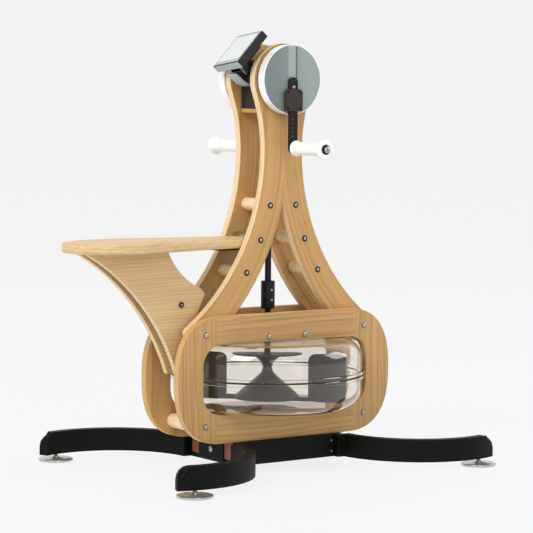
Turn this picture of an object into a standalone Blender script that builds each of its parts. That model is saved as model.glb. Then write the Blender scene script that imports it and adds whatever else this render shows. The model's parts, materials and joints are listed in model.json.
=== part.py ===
"""Arm-crank trainer with a water tank, in metres: +Z up, the seat towards -X, the rider's right at -Y.

Two ash uprights carry a crank shaft between their round heads. A bevel pair under a cover turns the
vertical drive shaft, which spins a paddle in the water tank held by two racetrack-shaped frames.
Every piece is drawn about the drive axis, and place() moves it to the model's own origin.
"""
import math

import bmesh
import bpy
from mathutils import Matrix, Vector

# General fits
GAP = 0.0003                # between pieces that touch
RUN = 0.0003                # radial clearance round anything that turns
BOARD = 0.023               # thickness of the ash boards

# Uprights: a round head, a waist, and two flared legs with a notch between them
HUB_Z = 1.0765              # height of the crank shaft
HEAD_R = 0.0994             # radius of the round head
WAIST_Z = 0.882             # height of the narrowest place
WAIST_HALF = 0.0633         # half the width there
FLARE_R = 0.590             # radius of a leg's outer edge
LEG_WIDTH = 0.078           # width of a leg
LEG_END_DEG = 56.0          # where a leg ends on its arc
LEG_CORNER_R = 0.014        # rounding of that end
UPRIGHT_INNER_Y = 0.047     # inner face of an upright
BOLT_FIRST_DEG = 14.0       # the highest cross bolt, on the arc of the leg's middle line
BOLT_STEP_DEG = 9.1         # from one cross bolt to the next
CORNER_BOLT_DEG = 52.4      # the bolt that joins a leg to the tank frame

# Tank frames: racetrack rings, each glued up from two ends and two rails
FRAME_HALF_LENGTH = 0.359
FRAME_HALF_HEIGHT = 0.175
FRAME_END_DEPTH = 0.148     # how far the rounding of an end reaches in
FRAME_END_POWER = 2.5       # exponent of that superellipse
FRAME_BASE_Z = 0.0835       # underside of the frames
WINDOW_HALF_LENGTH = 0.277
WINDOW_HALF_HEIGHT = 0.096
WINDOW_CORNER_R = 0.057

# Cross pieces between the boards
DOWEL_R = 0.018
FRAME_DOWEL_R = 0.020
BOLT_R = 0.004
BOLT_HEAD_R = 0.007
BOLT_HEAD_T = 0.0025
BOLT_GRIP = 0.025           # length of a bolt inside its dowel

# Tank
TANK_R = 0.266
TANK_FLANGE_R = 0.273
TANK_WALL = 0.004
TANK_SHOULDER_R = 0.050
TANK_SEAM_Z = 0.257
TANK_FLANGE_T = 0.0085      # thickness of each shell's flange
TANK_NECK_R = 0.030
SEAL_T = 0.003
PLUG_R = 0.018
PLUG_POS = (0.05, 0.150)    # filler plug, from the drive axis
BRIDGE_HALF_LENGTH = 0.085
BRIDGE_T = 0.025
MID_BOLT_X = 0.0606

# Drive train
CRANK_SHAFT_R = 0.010
DRIVE_SHAFT_R = 0.009
BEARING_R = 0.021
BUSH_R = 0.016
GEAR_TEETH = 24
PINION_TEETH = 12
GEAR_MODULE = 0.003
TOOTH_LENGTH = 0.012
COUPLING_R = 0.0195
COUPLING_Z = (0.437, 0.515)
SHELF_T = 0.011
SHELF_BELOW_HUB = 0.081     # drive axis to the top of the shelf
COVER_HALF_LENGTH = 0.062
COVER_ABOVE_HUB = 0.0535
COVER_WALL = 0.003
COVER_CHAMFER = 0.018
PADDLE_TOP_Z = 0.318
PADDLE_FOOT_Z = 0.184
PADDLE_DISC_R = 0.098
PADDLE_FOOT_R = 0.092
PADDLE_NECK_R = 0.0126
BLADE_IN_R = 0.118
BLADE_OUT_R = 0.226
BLADE_T = 0.004
BLADE_Z = (0.176, 0.316)
BLADE_COUNT = 2
BLADE_ARM_HALF = 0.009         # the bar that carries the blades across the foot
BLADE_ARM_H = 0.012
BLADE_ARM_LIFT = 0.003
BLADE_FIRST_DEG = -48.6

# Cranks
DISC_R = 0.096
DISC_T = 0.028
DISC_FACE_Y = 0.110
ARM_WIDTH = 0.029
ARM_T = 0.006
ARM_ABOVE = 0.007           # the arm's end above the shaft
CRANK_R = 0.188             # shaft to grip
HOLE_PITCH = 0.012
HOLE_R = 0.0032
HOLE_COUNT = 8
HOLE_FIRST = 0.072          # first hole below the shaft
CLAMP_WIDTH = 0.056
CLAMP_TOP = 0.026           # clamp's upper edge below the shaft
CLAMP_HEIGHT = 0.060
CLAMP_T = 0.004
CLAMP_CHAMFER = 0.008
SPINDLE_R = 0.006
GRIP_R = 0.018
GRIP_FLANGE_R = 0.0275
GRIP_INNER_FLANGE_R = 0.0215
GRIP_START_Y = 0.1285
GRIP_END_Y = 0.266

# Seat
SEAT_REACH = 0.640          # drive axis to the seat's nose
SEAT_TOP_Z = 0.642
SEAT_T = 0.030
SEAT_NOSE_HALF = 0.050
SEAT_MAX_HALF = 0.104
SEAT_NECK_HALF = 0.0445
SEAT_MAX_X = -0.500
SEAT_NECK_X = -0.130
SEAT_BRACKET_T = 0.018
SEAT_BRACKET_Y = 0.025      # middle plane of a bracket
SEAT_OUTER_ARC = (-0.901, 0.077, 0.610)      # x, z, radius of a bracket's outer edge
SEAT_INNER_ARC = (-0.1744, 0.6888, 0.196)    # the same for its hollow edge
SEAT_BRACKET_FOOT_Z = 0.272
SEAT_BRACKET_TIP = (-0.2345, 0.4915)         # where the hollow edge meets the inner edge
SEAT_SPACER = (-0.313, 0.465)
SEAT_HOOK_T = 0.005
SEAT_HOOK_HALF = 0.030

# Base
BOW_REACH = 0.532           # drive axis to the tips of the bows
BOW_T = 0.028
BOW_BOTTOM_Z = 0.020
BOW_BEND_R = 0.245
BOW_BEND_X = 0.434          # centre of the bend
BOW_BEND_Y = 0.115
BOW_TIP_R = 0.036
BOW_MIDDLE_X = (0.154, 0.180)  # the board that joins the two legs of a bow
BOW_MIDDLE_HALF = 0.129
RAIL_OUTER_Y = 0.110
RAIL_T = 0.022
BASE_CLAMP_T = 0.010
CLEAT_Y = (0.062, 0.098)
CLEAT_T = 0.007
CLEAT_HEIGHT = 0.048
FOOT_X = 0.4777
FOOT_R = 0.049
FOOT_T = 0.008
STUD_R = 0.006
STUD_TOP_Z = 0.050

# Monitor
STRAP_T = 0.007
STRAP_HALF = 0.020
STRAP_REST = (-0.109, HUB_Z + 0.005)                # where the knuckle stands on the strap
SWIVEL_AXIS = Vector((0.6, 0.0, 0.8))
SWIVEL_REST_DEG = -8.7
TILT_REST_DEG = 43.0
TILT_RISE = 0.020                            # strap to tilt axis
BARREL_R = 0.009
BARREL_HALF = 0.028
MONITOR_WIDTH = 0.148
MONITOR_HEIGHT = 0.118
MONITOR_T = 0.022
MONITOR_BACK_HALF = 0.036                    # the raised back passes between the uprights
MONITOR_FACE = 0.048                         # tilt axis to the face
MONITOR_RISE = 0.041                         # tilt axis to the middle of the face
SCREEN_T = 0.0012
SCREEN_MARGIN = 0.004

# What follows from those sizes
DRIVE_X = (SEAT_REACH - BOW_REACH) / 2
UPRIGHT_OUTER_Y = UPRIGHT_INNER_Y + BOARD
FRAME_INNER_Y = UPRIGHT_OUTER_Y + GAP
FRAME_OUTER_Y = FRAME_INNER_Y + BOARD
FRAME_Z = FRAME_BASE_Z + FRAME_HALF_HEIGHT
LEG_CENTRE_X = WAIST_HALF + FLARE_R
LEG_MIDDLE_R = FLARE_R + LEG_WIDTH / 2
TANK_BOTTOM_Z = FRAME_Z - WINDOW_HALF_HEIGHT + GAP
TANK_TOP_Z = FRAME_Z + WINDOW_HALF_HEIGHT - 0.0015
BRIDGE_BOTTOM_Z = FRAME_Z + WINDOW_HALF_HEIGHT + 0.002
MID_BOLT_Z = BRIDGE_BOTTOM_Z + BRIDGE_T / 2
SHELF_TOP_Z = HUB_Z - SHELF_BELOW_HUB
COVER_TOP_Z = HUB_Z + COVER_ABOVE_HUB
BOW_TOP_Z = FRAME_BASE_Z - GAP
FOOT_Y = BOW_BEND_Y + math.sqrt(BOW_BEND_R ** 2 - (FOOT_X - BOW_BEND_X) ** 2)
ARM_FACE_Y = DISC_FACE_Y + GAP + ARM_T
SEAT_BOTTOM_Z = SEAT_TOP_Z - SEAT_T

SIDES = (("right", -1), ("left", 1))
ENDS = (("front", -1), ("rear", 1))

MATERIALS = {
    "ash_wood": ((0.62, 0.40, 0.19), 0.5, 0.0),
    "ash_dowel": ((0.72, 0.52, 0.29), 0.5, 0.0),
    "black_lacquer": ((0.012, 0.013, 0.012), 0.42, 0.0),
    "polycarbonate": ((0.82, 0.82, 0.80), 0.08, 0.0),
    "brushed_steel": ((0.42, 0.45, 0.44), 0.3, 1.0),
    "zinc_steel": ((0.55, 0.57, 0.58), 0.3, 1.0),
    "black_steel": ((0.02, 0.02, 0.018), 0.4, 0.6),
    "white_plastic": ((0.86, 0.85, 0.81), 0.35, 0.0),
    "black_plastic": ((0.015, 0.015, 0.016), 0.45, 0.0),
    "grey_plastic": ((0.38, 0.40, 0.43), 0.4, 0.0),
    "screen": ((0.74, 0.76, 0.76), 0.2, 0.0),
    "black_rubber": ((0.02, 0.02, 0.02), 0.7, 0.0),
}


# Mesh helpers

def material(name):
    """The Principled material of that name, made once."""
    if name in bpy.data.materials:
        return bpy.data.materials[name]
    colour, roughness, metallic = MATERIALS[name]
    made = bpy.data.materials.new(name)
    made.use_nodes = True
    shader = made.node_tree.nodes["Principled BSDF"]
    shader.inputs["Base Color"].default_value = (*colour, 1.0)
    shader.inputs["Roughness"].default_value = roughness
    shader.inputs["Metallic"].default_value = metallic
    return made


def place(name, mesh, material_name, origin=(0.0, 0.0, 0.0)):
    """Make the object of one sub-part, with its origin at a point given from the drive axis."""
    point = Vector(origin)
    mesh.name = name
    mesh.transform(Matrix.Translation(-point))
    mesh.materials.clear()
    mesh.materials.append(material(material_name))
    made = bpy.data.objects.new(name, mesh)
    made.location = point + Vector((DRIVE_X, 0.0, 0.0))
    bpy.context.collection.objects.link(made)
    return made


def finished(work, name="piece"):
    """Turn a bmesh into a mesh with welded points and outward faces."""
    bmesh.ops.remove_doubles(work, verts=work.verts, dist=1e-6)
    bmesh.ops.recalc_face_normals(work, faces=work.faces)
    mesh = bpy.data.meshes.new(name)
    work.to_mesh(mesh)
    work.free()
    return mesh


def smooth(mesh):
    """Shade a round piece smooth, with its real edges left sharp."""
    mesh.shade_smooth()
    mesh.set_sharp_from_angle(angle=math.radians(35))
    return mesh


def evaluated(curve_or_mesh, modifiers=()):
    """The mesh of a throwaway object after its modifiers."""
    holder = bpy.data.objects.new("holder", curve_or_mesh)
    bpy.context.collection.objects.link(holder)
    for operation, cutter in modifiers:
        step = holder.modifiers.new(operation, "BOOLEAN")
        step.operation = operation
        step.object = cutter
        step.solver = "EXACT"
    graph = bpy.context.evaluated_depsgraph_get()
    graph.update()
    mesh = bpy.data.meshes.new_from_object(holder.evaluated_get(graph))
    bpy.data.objects.remove(holder)
    return mesh


def combine(mesh, others, operation):
    """Cut the other meshes from the first, or join them to it, one after another."""
    tools = []
    for other in others:
        tool = bpy.data.objects.new("tool", other)
        bpy.context.collection.objects.link(tool)
        tools.append(tool)
    result = evaluated(mesh, [(operation, tool) for tool in tools])
    for tool in tools:
        bpy.data.objects.remove(tool)
    return result


def board(outlines, low, high, plane="XZ"):
    """A flat board: the first outline is its edge, the others are holes through it."""
    curve = bpy.data.curves.new("outline", "CURVE")
    curve.dimensions = "2D"
    curve.fill_mode = "BOTH"
    curve.extrude = (high - low) / 2
    for outline in outlines:
        spline = curve.splines.new("POLY")
        spline.points.add(len(outline) - 1)
        for point, (across, along) in zip(spline.points, outline):
            point.co = (across, along, 0.0, 1.0)
        spline.use_cyclic_u = True
    mesh = evaluated(curve)
    mesh.transform(Matrix.Translation((0.0, 0.0, (low + high) / 2)))
    if plane == "XZ":
        mesh.transform(Matrix(((1, 0, 0, 0), (0, 0, 1, 0), (0, 1, 0, 0), (0, 0, 0, 1))))
    work = bmesh.new()
    work.from_mesh(mesh)
    return finished(work)


def turned(profile, segments=16, axis="Z", at=(0.0, 0.0, 0.0), closed=False):
    """A turned solid from (radius, height) points; closed is for a ring that misses its axis."""
    work = bmesh.new()
    points = [work.verts.new((radius, 0.0, height)) for radius, height in profile]
    edges = [work.edges.new(pair) for pair in zip(points, points[1:])]
    if closed:
        edges.append(work.edges.new((points[-1], points[0])))
    bmesh.ops.spin(work, geom=points + edges, cent=(0, 0, 0), axis=(0, 0, 1), angle=math.tau,
                   steps=segments, use_merge=True)
    mesh = finished(work)
    if axis == "Y":
        mesh.transform(Matrix.Rotation(-math.pi / 2, 4, "X"))
    mesh.transform(Matrix.Translation(at))
    return smooth(mesh)


def rod(radius, low, high, segments=16, axis="Z", at=(0.0, 0.0, 0.0)):
    """A plain round bar between two heights on its axis."""
    return turned([(0, low), (radius, low), (radius, high), (0, high)], segments, axis, at)


def ring(inner, outer, low, high, segments=24, axis="Z", at=(0.0, 0.0, 0.0)):
    """A plain ring."""
    profile = [(inner, low), (outer, low), (outer, high), (inner, high)]
    return turned(profile, segments, axis, at, closed=True)


def block(low, high):
    """A box between two corners."""
    work = bmesh.new()
    size = Vector(high) - Vector(low)
    middle = (Vector(high) + Vector(low)) / 2
    bmesh.ops.create_cube(work, size=1.0, matrix=Matrix.Translation(middle) @ Matrix.Diagonal((*size, 1)))
    return finished(work)


def arc(centre_x, centre_y, radius, start_deg, end_deg, steps):
    """Points along an arc, both ends included."""
    points = []
    for step in range(steps + 1):
        angle = math.radians(start_deg + (end_deg - start_deg) * step / steps)
        points.append((centre_x + radius * math.cos(angle), centre_y + radius * math.sin(angle)))
    return points


def circle(centre_x, centre_y, radius, steps=12):
    """A closed round outline."""
    return arc(centre_x, centre_y, radius, 0, 360 - 360 / steps, steps - 1)


def fillet(before, corner, after, radius, steps=3):
    """Points that round one corner of an outline."""
    corner = Vector(corner)
    towards_before = (Vector(before) - corner).normalized()
    towards_after = (Vector(after) - corner).normalized()
    half = math.acos(max(-1.0, min(1.0, towards_before.dot(towards_after)))) / 2
    middle = corner + (towards_before + towards_after).normalized() * radius / math.sin(half)
    first = (corner + towards_before * radius / math.tan(half) - middle).normalized()
    last = (corner + towards_after * radius / math.tan(half) - middle).normalized()
    return [tuple(middle + first.slerp(last, step / steps) * radius) for step in range(steps + 1)]


def mirrored(outline, sign):
    """The outline on the rear side, or as drawn on the front side."""
    if sign < 0:
        return outline
    return [(-across, along) for across, along in reversed(outline)]


def span(sign, inner, outer):
    """The y range of a board on one side."""
    return (inner, outer) if sign > 0 else (-outer, -inner)


# Uprights and what joins them

def leg_point(degrees, radius=LEG_MIDDLE_R):
    """A point on the front leg's arc, from the drive axis."""
    angle = math.radians(degrees)
    return (-LEG_CENTRE_X + radius * math.cos(angle), WAIST_Z - radius * math.sin(angle))


def upright_outline():
    """The front half of an upright, from the top of its head round to the seam."""
    rise = HUB_Z - WAIST_Z
    neck_r = (WAIST_HALF ** 2 + rise ** 2 - HEAD_R ** 2) / (2 * (HEAD_R - WAIST_HALF))
    meet_deg = math.degrees(math.atan2(rise, WAIST_HALF + neck_r))
    seam = GAP / 2
    top_deg = 90 + math.degrees(math.asin(seam / HEAD_R))
    inner_r = FLARE_R + LEG_WIDTH
    apex_deg = -math.degrees(math.acos((LEG_CENTRE_X - seam) / inner_r))
    corner_deg = -LEG_END_DEG
    before_deg = corner_deg + 2.2
    points = arc(0, HUB_Z, HEAD_R, top_deg, 180 + meet_deg, 14)
    points += arc(-WAIST_HALF - neck_r, WAIST_Z, neck_r, meet_deg, 0, 6)[1:]
    flare = arc(-LEG_CENTRE_X, WAIST_Z, FLARE_R, 0, before_deg, 14)[1:]
    hollow = arc(-LEG_CENTRE_X, WAIST_Z, inner_r, before_deg, apex_deg, 12)
    outer_corner = leg_point(LEG_END_DEG, FLARE_R)
    inner_corner = leg_point(LEG_END_DEG, inner_r)
    points += flare
    points += fillet(flare[-1], outer_corner, inner_corner, LEG_CORNER_R)
    points += fillet(outer_corner, inner_corner, hollow[0], LEG_CORNER_R)
    points += hollow
    bore_r = BEARING_R + GAP
    bore_deg = math.degrees(math.asin(seam / bore_r))
    points += arc(0, HUB_Z, bore_r, 270 - bore_deg, 90 + bore_deg, 10)
    return points


def cross_bolt_degs():
    """Where the three cross bolts of a leg sit on its arc."""
    return [BOLT_FIRST_DEG + BOLT_STEP_DEG * step for step in range(3)]


def make_uprights():
    outline = upright_outline()
    holes = []
    for degrees in cross_bolt_degs() + [CORNER_BOLT_DEG]:
        holes.append(circle(*leg_point(degrees), BOLT_R + GAP, 10))
    for side, side_sign in SIDES:
        low, high = span(side_sign, UPRIGHT_INNER_Y, UPRIGHT_OUTER_Y)
        for end, end_sign in ENDS:
            loops = [mirrored(loop, end_sign) for loop in [outline] + holes]
            place(f"upright_{side}_{end}", board(loops, low, high), "ash_wood")


def tie(name, x, z, radius, half_length, outer_y, material_name="ash_dowel"):
    """A round cross piece with the bolt in each end, whose head bears on the outer board."""
    edge = 0.002
    head_y = outer_y + GAP
    end = [(0, head_y + BOLT_HEAD_T), (BOLT_HEAD_R - 0.001, head_y + BOLT_HEAD_T), (BOLT_HEAD_R, head_y),
           (BOLT_R, head_y), (BOLT_R, half_length), (radius - edge, half_length), (radius, half_length - edge)]
    profile = end + [(r, -h) for r, h in reversed(end)]
    place(name, turned(profile, 16, "Y", (x, 0, z)), material_name)


def make_cross_pieces():
    half = UPRIGHT_INNER_Y - GAP
    corner_x, corner_z = leg_point(CORNER_BOLT_DEG)
    for end, sign in ENDS:
        for level, degrees in zip(("upper", "middle", "lower"), cross_bolt_degs()):
            x, z = leg_point(degrees)
            if level == "middle" and end == "front":
                tie("seat_bar", x, z, DOWEL_R, half, UPRIGHT_OUTER_Y, "zinc_steel")
            else:
                tie(f"{level}_dowel_{end}", -sign * x, z, DOWEL_R, half, UPRIGHT_OUTER_Y)
        tie(f"corner_dowel_{end}", -sign * corner_x, corner_z, DOWEL_R, half, FRAME_OUTER_Y)
        low_z = 2 * FRAME_Z - corner_z
        tie(f"frame_dowel_{end}", -sign * corner_x, low_z, FRAME_DOWEL_R, FRAME_INNER_Y - GAP, FRAME_OUTER_Y)


# Tank frames

def frame_edge(steps):
    """The rounded front end of a frame's outer edge, from top to bottom."""
    straight = FRAME_HALF_LENGTH - FRAME_END_DEPTH
    points = []
    for step in range(steps + 1):
        angle = math.pi * (0.5 - step / steps)
        across = abs(math.cos(angle)) ** (2 / FRAME_END_POWER)
        along = abs(math.sin(angle)) ** (2 / FRAME_END_POWER)
        z = FRAME_Z + math.copysign(FRAME_HALF_HEIGHT * along, angle)
        points.append((-straight - FRAME_END_DEPTH * across, z))
    return points


def frame_outline():
    """The outer edge of a whole frame, anticlockwise from the top of its front end."""
    front = frame_edge(26)
    return front + mirrored(front, 1)


def window_outline():
    """The window of a whole frame, with its four round corners."""
    across = WINDOW_HALF_LENGTH - WINDOW_CORNER_R
    up = WINDOW_HALF_HEIGHT - WINDOW_CORNER_R
    points = []
    for quarter, (sign_x, sign_z) in enumerate(((1, 1), (-1, 1), (-1, -1), (1, -1))):
        start = 90 * quarter
        points += arc(sign_x * across, FRAME_Z + sign_z * up, WINDOW_CORNER_R, start, start + 90, 7)
    return points


def make_frames():
    corner_x, corner_z = leg_point(CORNER_BOLT_DEG)
    hole_r = BOLT_R + GAP
    points = [(corner_x, corner_z), (corner_x, 2 * FRAME_Z - corner_z), (MID_BOLT_X, MID_BOLT_Z)]
    holes = [circle(sign * x, z, hole_r, 10) for x, z in points for sign in (-1, 1)]
    for side, sign in SIDES:
        low, high = span(sign, FRAME_INNER_Y, FRAME_OUTER_Y)
        place(f"tank_frame_{side}", board([frame_outline(), window_outline()] + holes, low, high), "ash_wood")


# Tank

def shoulder(z_sign, radius, centre_r, centre_z, steps=5):
    """The rounded shoulder of a shell, from its wall to its flat."""
    points = []
    for step in range(steps + 1):
        angle = math.pi / 2 * step / steps
        points.append((centre_r + radius * math.cos(angle), centre_z + z_sign * radius * math.sin(angle)))
    return points


def shell(z_sign, seam_z, flat_z, hole_r):
    """One half of the tank, open at the seam, with a hole through its flat when hole_r is set."""
    centre_r = TANK_R - TANK_SHOULDER_R
    centre_z = flat_z - z_sign * TANK_SHOULDER_R
    flange_z = seam_z + z_sign * TANK_FLANGE_T
    outer = [(TANK_FLANGE_R, seam_z), (TANK_FLANGE_R, flange_z), (TANK_R, flange_z)]
    outer += shoulder(z_sign, TANK_SHOULDER_R, centre_r, centre_z)
    inner = shoulder(z_sign, TANK_SHOULDER_R - TANK_WALL, centre_r, centre_z)
    inner = list(reversed(inner)) + [(TANK_R - TANK_WALL, seam_z)]
    flat = [(hole_r, flat_z), (hole_r, flat_z - z_sign * TANK_WALL)]
    if hole_r:
        return turned(outer + flat + inner, 48, closed=True)
    # without a hole the outer and inner skins each end on the axis and meet at the flange
    profile = [(0, flat_z)] + list(reversed(outer)) + list(reversed(inner)) + [(0, flat_z - z_sign * TANK_WALL)]
    return turned(profile, 48)


def make_tank():
    upper = shell(1, TANK_SEAM_Z + SEAL_T / 2 + GAP, TANK_TOP_Z, TANK_NECK_R)
    plug_x, plug_y = PLUG_POS
    cutter = rod(PLUG_R + GAP, TANK_TOP_Z - 0.02, TANK_TOP_Z + 0.02, 16, "Z", (plug_x, plug_y, 0))
    place("tank_upper_shell", combine(upper, [cutter], "DIFFERENCE"), "polycarbonate")
    lower = shell(-1, TANK_SEAM_Z - SEAL_T / 2 - GAP, TANK_BOTTOM_Z, 0)
    place("tank_lower_shell", lower, "polycarbonate")
    seal = ring(TANK_R - TANK_WALL, TANK_FLANGE_R - 0.001, TANK_SEAM_Z - SEAL_T / 2, TANK_SEAM_Z + SEAL_T / 2, 48)
    place("tank_seal", seal, "black_rubber")
    cap_z = TANK_TOP_Z + GAP
    plug = [(0, TANK_TOP_Z - 0.010), (PLUG_R, TANK_TOP_Z - 0.010), (PLUG_R, cap_z), (PLUG_R + 0.004, cap_z),
            (PLUG_R + 0.004, cap_z + 0.004), (0, cap_z + 0.004)]
    place("filler_plug", turned(plug, 16, "Z", (plug_x, plug_y, 0)), "black_plastic")


def make_bridge():
    """The board between the frames that steadies the drive shaft, with its four bolts."""
    half_y = FRAME_INNER_Y - GAP
    outline = [(-BRIDGE_HALF_LENGTH, -half_y), (BRIDGE_HALF_LENGTH, -half_y),
               (BRIDGE_HALF_LENGTH, half_y), (-BRIDGE_HALF_LENGTH, half_y)]
    top = BRIDGE_BOTTOM_Z + BRIDGE_T
    bridge = board([outline, circle(0, 0, BUSH_R + GAP, 16)], BRIDGE_BOTTOM_Z, top, "XY")
    head_y = FRAME_OUTER_Y + GAP
    profile = [(0, half_y - BOLT_GRIP), (BOLT_R, half_y - BOLT_GRIP), (BOLT_R, head_y), (BOLT_HEAD_R, head_y),
               (BOLT_HEAD_R - 0.001, head_y + BOLT_HEAD_T), (0, head_y + BOLT_HEAD_T)]
    bolts = []
    for _, side in SIDES:
        for sign in (-1, 1):
            bolts.append(turned([(r, side * h) for r, h in profile], 10, "Y", (sign * MID_BOLT_X, 0, MID_BOLT_Z)))
    place("tank_bridge", combine(bridge, bolts, "UNION"), "ash_wood")


# Gearbox and drive

def make_gearbox():
    half_y = UPRIGHT_INNER_Y - GAP
    shelf_outline = [(-COVER_HALF_LENGTH, -half_y), (COVER_HALF_LENGTH, -half_y),
                     (COVER_HALF_LENGTH, half_y), (-COVER_HALF_LENGTH, half_y)]
    bottom = SHELF_TOP_Z - SHELF_T
    shelf = board([shelf_outline, circle(0, 0, BUSH_R + GAP, 16)], bottom, SHELF_TOP_Z, "XY")
    place("gearbox_shelf", shelf, "ash_wood")

    def cover_outline(inset, low):
        half = COVER_HALF_LENGTH - inset
        high = COVER_TOP_Z - inset
        return [(-half, low), (half, low), (half, high - COVER_CHAMFER), (half - COVER_CHAMFER, high),
                (COVER_CHAMFER - half, high), (-half, high - COVER_CHAMFER)]

    foot = SHELF_TOP_Z + GAP
    body = board([cover_outline(0, foot)], -half_y, half_y)
    hollow = board([cover_outline(COVER_WALL, foot - 0.01)], COVER_WALL - half_y, half_y - COVER_WALL)
    bore = rod(CRANK_SHAFT_R + 0.0025, -0.1, 0.1, 20, "Y", (0, 0, HUB_Z))
    place("gearbox_cover", combine(body, [hollow, bore], "DIFFERENCE"), "black_plastic")


def make_bearings():
    for side, sign in SIDES:
        low, high = span(sign, UPRIGHT_INNER_Y + 0.001, UPRIGHT_OUTER_Y - 0.001)
        bearing = ring(CRANK_SHAFT_R + RUN, BEARING_R, low, high, 20, "Y", (0, 0, HUB_Z))
        place(f"crank_bearing_{side}", bearing, "zinc_steel")
    for name, top, thick in (("shelf_bush", SHELF_TOP_Z, SHELF_T),
                             ("bridge_bush", BRIDGE_BOTTOM_Z + BRIDGE_T, BRIDGE_T)):
        place(name, ring(DRIVE_SHAFT_R + RUN, BUSH_R, top - thick, top, 16), "zinc_steel")


def bevel_gear(teeth, mate_teeth, bore_r, back, phase):
    """A straight bevel gear on +Z with the pitch cone's apex at the origin."""
    pitch_r = GEAR_MODULE * teeth / 2
    cone = math.atan2(teeth, mate_teeth)
    outer_l = pitch_r / math.sin(cone)
    inner_l = outer_l - TOOTH_LENGTH
    work = bmesh.new()

    def toothed(length):
        scale = length / outer_l
        tip = 0.8 * GEAR_MODULE * scale
        root = -1.2 * GEAR_MODULE * scale
        points = []
        for tooth in range(teeth):
            for share, rise in ((-0.23, root), (-0.13, tip), (0.13, tip), (0.23, root)):
                angle = (tooth + share + phase) * math.tau / teeth
                radius = length * math.sin(cone) + rise * math.cos(cone)
                height = length * math.cos(cone) - rise * math.sin(cone)
                points.append(work.verts.new((radius * math.cos(angle), radius * math.sin(angle), height)))
        return points

    def plain(radius, height):
        points = []
        for tooth in range(teeth):
            for share in (-0.23, -0.13, 0.13, 0.23):
                angle = (tooth + share + phase) * math.tau / teeth
                points.append(work.verts.new((radius * math.cos(angle), radius * math.sin(angle), height)))
        return points

    root_r = outer_l * math.sin(cone) - 1.2 * GEAR_MODULE * math.cos(cone)
    front = inner_l * math.cos(cone) + 1.2 * GEAR_MODULE * math.sin(cone)
    loops = [toothed(outer_l), toothed(inner_l), plain(bore_r, front), plain(bore_r, back), plain(root_r, back)]
    for loop, following in zip(loops, loops[1:] + loops[:1]):
        for index in range(len(loop)):
            after = (index + 1) % len(loop)
            work.faces.new((loop[index], loop[after], following[after], following[index]))
    return finished(work)


def make_gears():
    gear_back = GEAR_MODULE * PINION_TEETH / 2 + 0.012
    gear = bevel_gear(GEAR_TEETH, PINION_TEETH, CRANK_SHAFT_R + GAP, gear_back, 0.5)
    gear.transform(Matrix.Rotation(math.pi / 2, 4, "Z"))
    gear.transform(Matrix.Rotation(-math.pi / 2, 4, "X"))
    gear.transform(Matrix.Translation((0, 0, HUB_Z)))
    place("crank_gear", gear, "black_steel", (0, 0, HUB_Z))
    pinion_back = GEAR_MODULE * GEAR_TEETH / 2 + 0.012
    pinion = bevel_gear(PINION_TEETH, GEAR_TEETH, DRIVE_SHAFT_R + GAP, pinion_back, 0.0)
    pinion.transform(Matrix.Rotation(-math.pi / 2, 4, "Z"))
    pinion.transform(Matrix.Rotation(math.pi, 4, "X"))
    pinion.transform(Matrix.Translation((0, 0, HUB_Z)))
    place("drive_pinion", pinion, "black_steel", (0, 0, HUB_Z))


def make_paddle():
    bore_r = DRIVE_SHAFT_R + GAP
    bore_z = PADDLE_TOP_Z - 0.030
    waist_z = (PADDLE_TOP_Z + PADDLE_FOOT_Z) / 2 + 0.021
    wide_r = bore_r + PADDLE_NECK_R * 2
    profile = [(0, bore_z), (bore_r, bore_z), (bore_r, PADDLE_TOP_Z), (PADDLE_DISC_R, PADDLE_TOP_Z),
               (PADDLE_DISC_R, PADDLE_TOP_Z - 0.005), (wide_r, PADDLE_TOP_Z - 0.012),
               (PADDLE_NECK_R + 0.006, waist_z + 0.016), (PADDLE_NECK_R, waist_z),
               (PADDLE_NECK_R + 0.004, waist_z - 0.014), (PADDLE_FOOT_R, PADDLE_FOOT_Z + 0.006),
               (PADDLE_FOOT_R, PADDLE_FOOT_Z), (0, PADDLE_FOOT_Z)]
    hub = turned(profile, 24)
    low, high = BLADE_Z
    radius = 0.020
    outline = [(BLADE_IN_R, low), (BLADE_OUT_R, low), (BLADE_OUT_R, high), (BLADE_IN_R, high)]
    rounded = []
    for index, corner in enumerate(outline):
        rounded += fillet(outline[index - 1], corner, outline[(index + 1) % 4], radius)
    reach = BLADE_IN_R + radius
    bottom = low + BLADE_ARM_LIFT
    bar = block((-reach, -BLADE_ARM_HALF, bottom), (reach, BLADE_ARM_HALF, bottom + BLADE_ARM_H))
    bar.transform(Matrix.Rotation(math.radians(BLADE_FIRST_DEG), 4, "Z"))
    blades = [bar]
    for count in range(BLADE_COUNT):
        blade = board([rounded], -BLADE_T / 2, BLADE_T / 2)
        angle = math.radians(BLADE_FIRST_DEG) + math.tau * count / BLADE_COUNT
        blade.transform(Matrix.Rotation(angle, 4, "Z"))
        blades.append(blade)
    place("paddle", combine(hub, blades, "UNION"), "black_plastic")


def make_drive():
    top = HUB_Z - GEAR_MODULE * GEAR_TEETH / 2 + 0.004
    bottom = PADDLE_TOP_Z - 0.030 + GAP
    place("drive_shaft", rod(DRIVE_SHAFT_R, bottom, top, 16), "black_steel")
    low, high = COUPLING_Z
    place("shaft_coupling", ring(DRIVE_SHAFT_R + GAP, COUPLING_R, low, high, 20), "black_steel")


# Cranks

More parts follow.
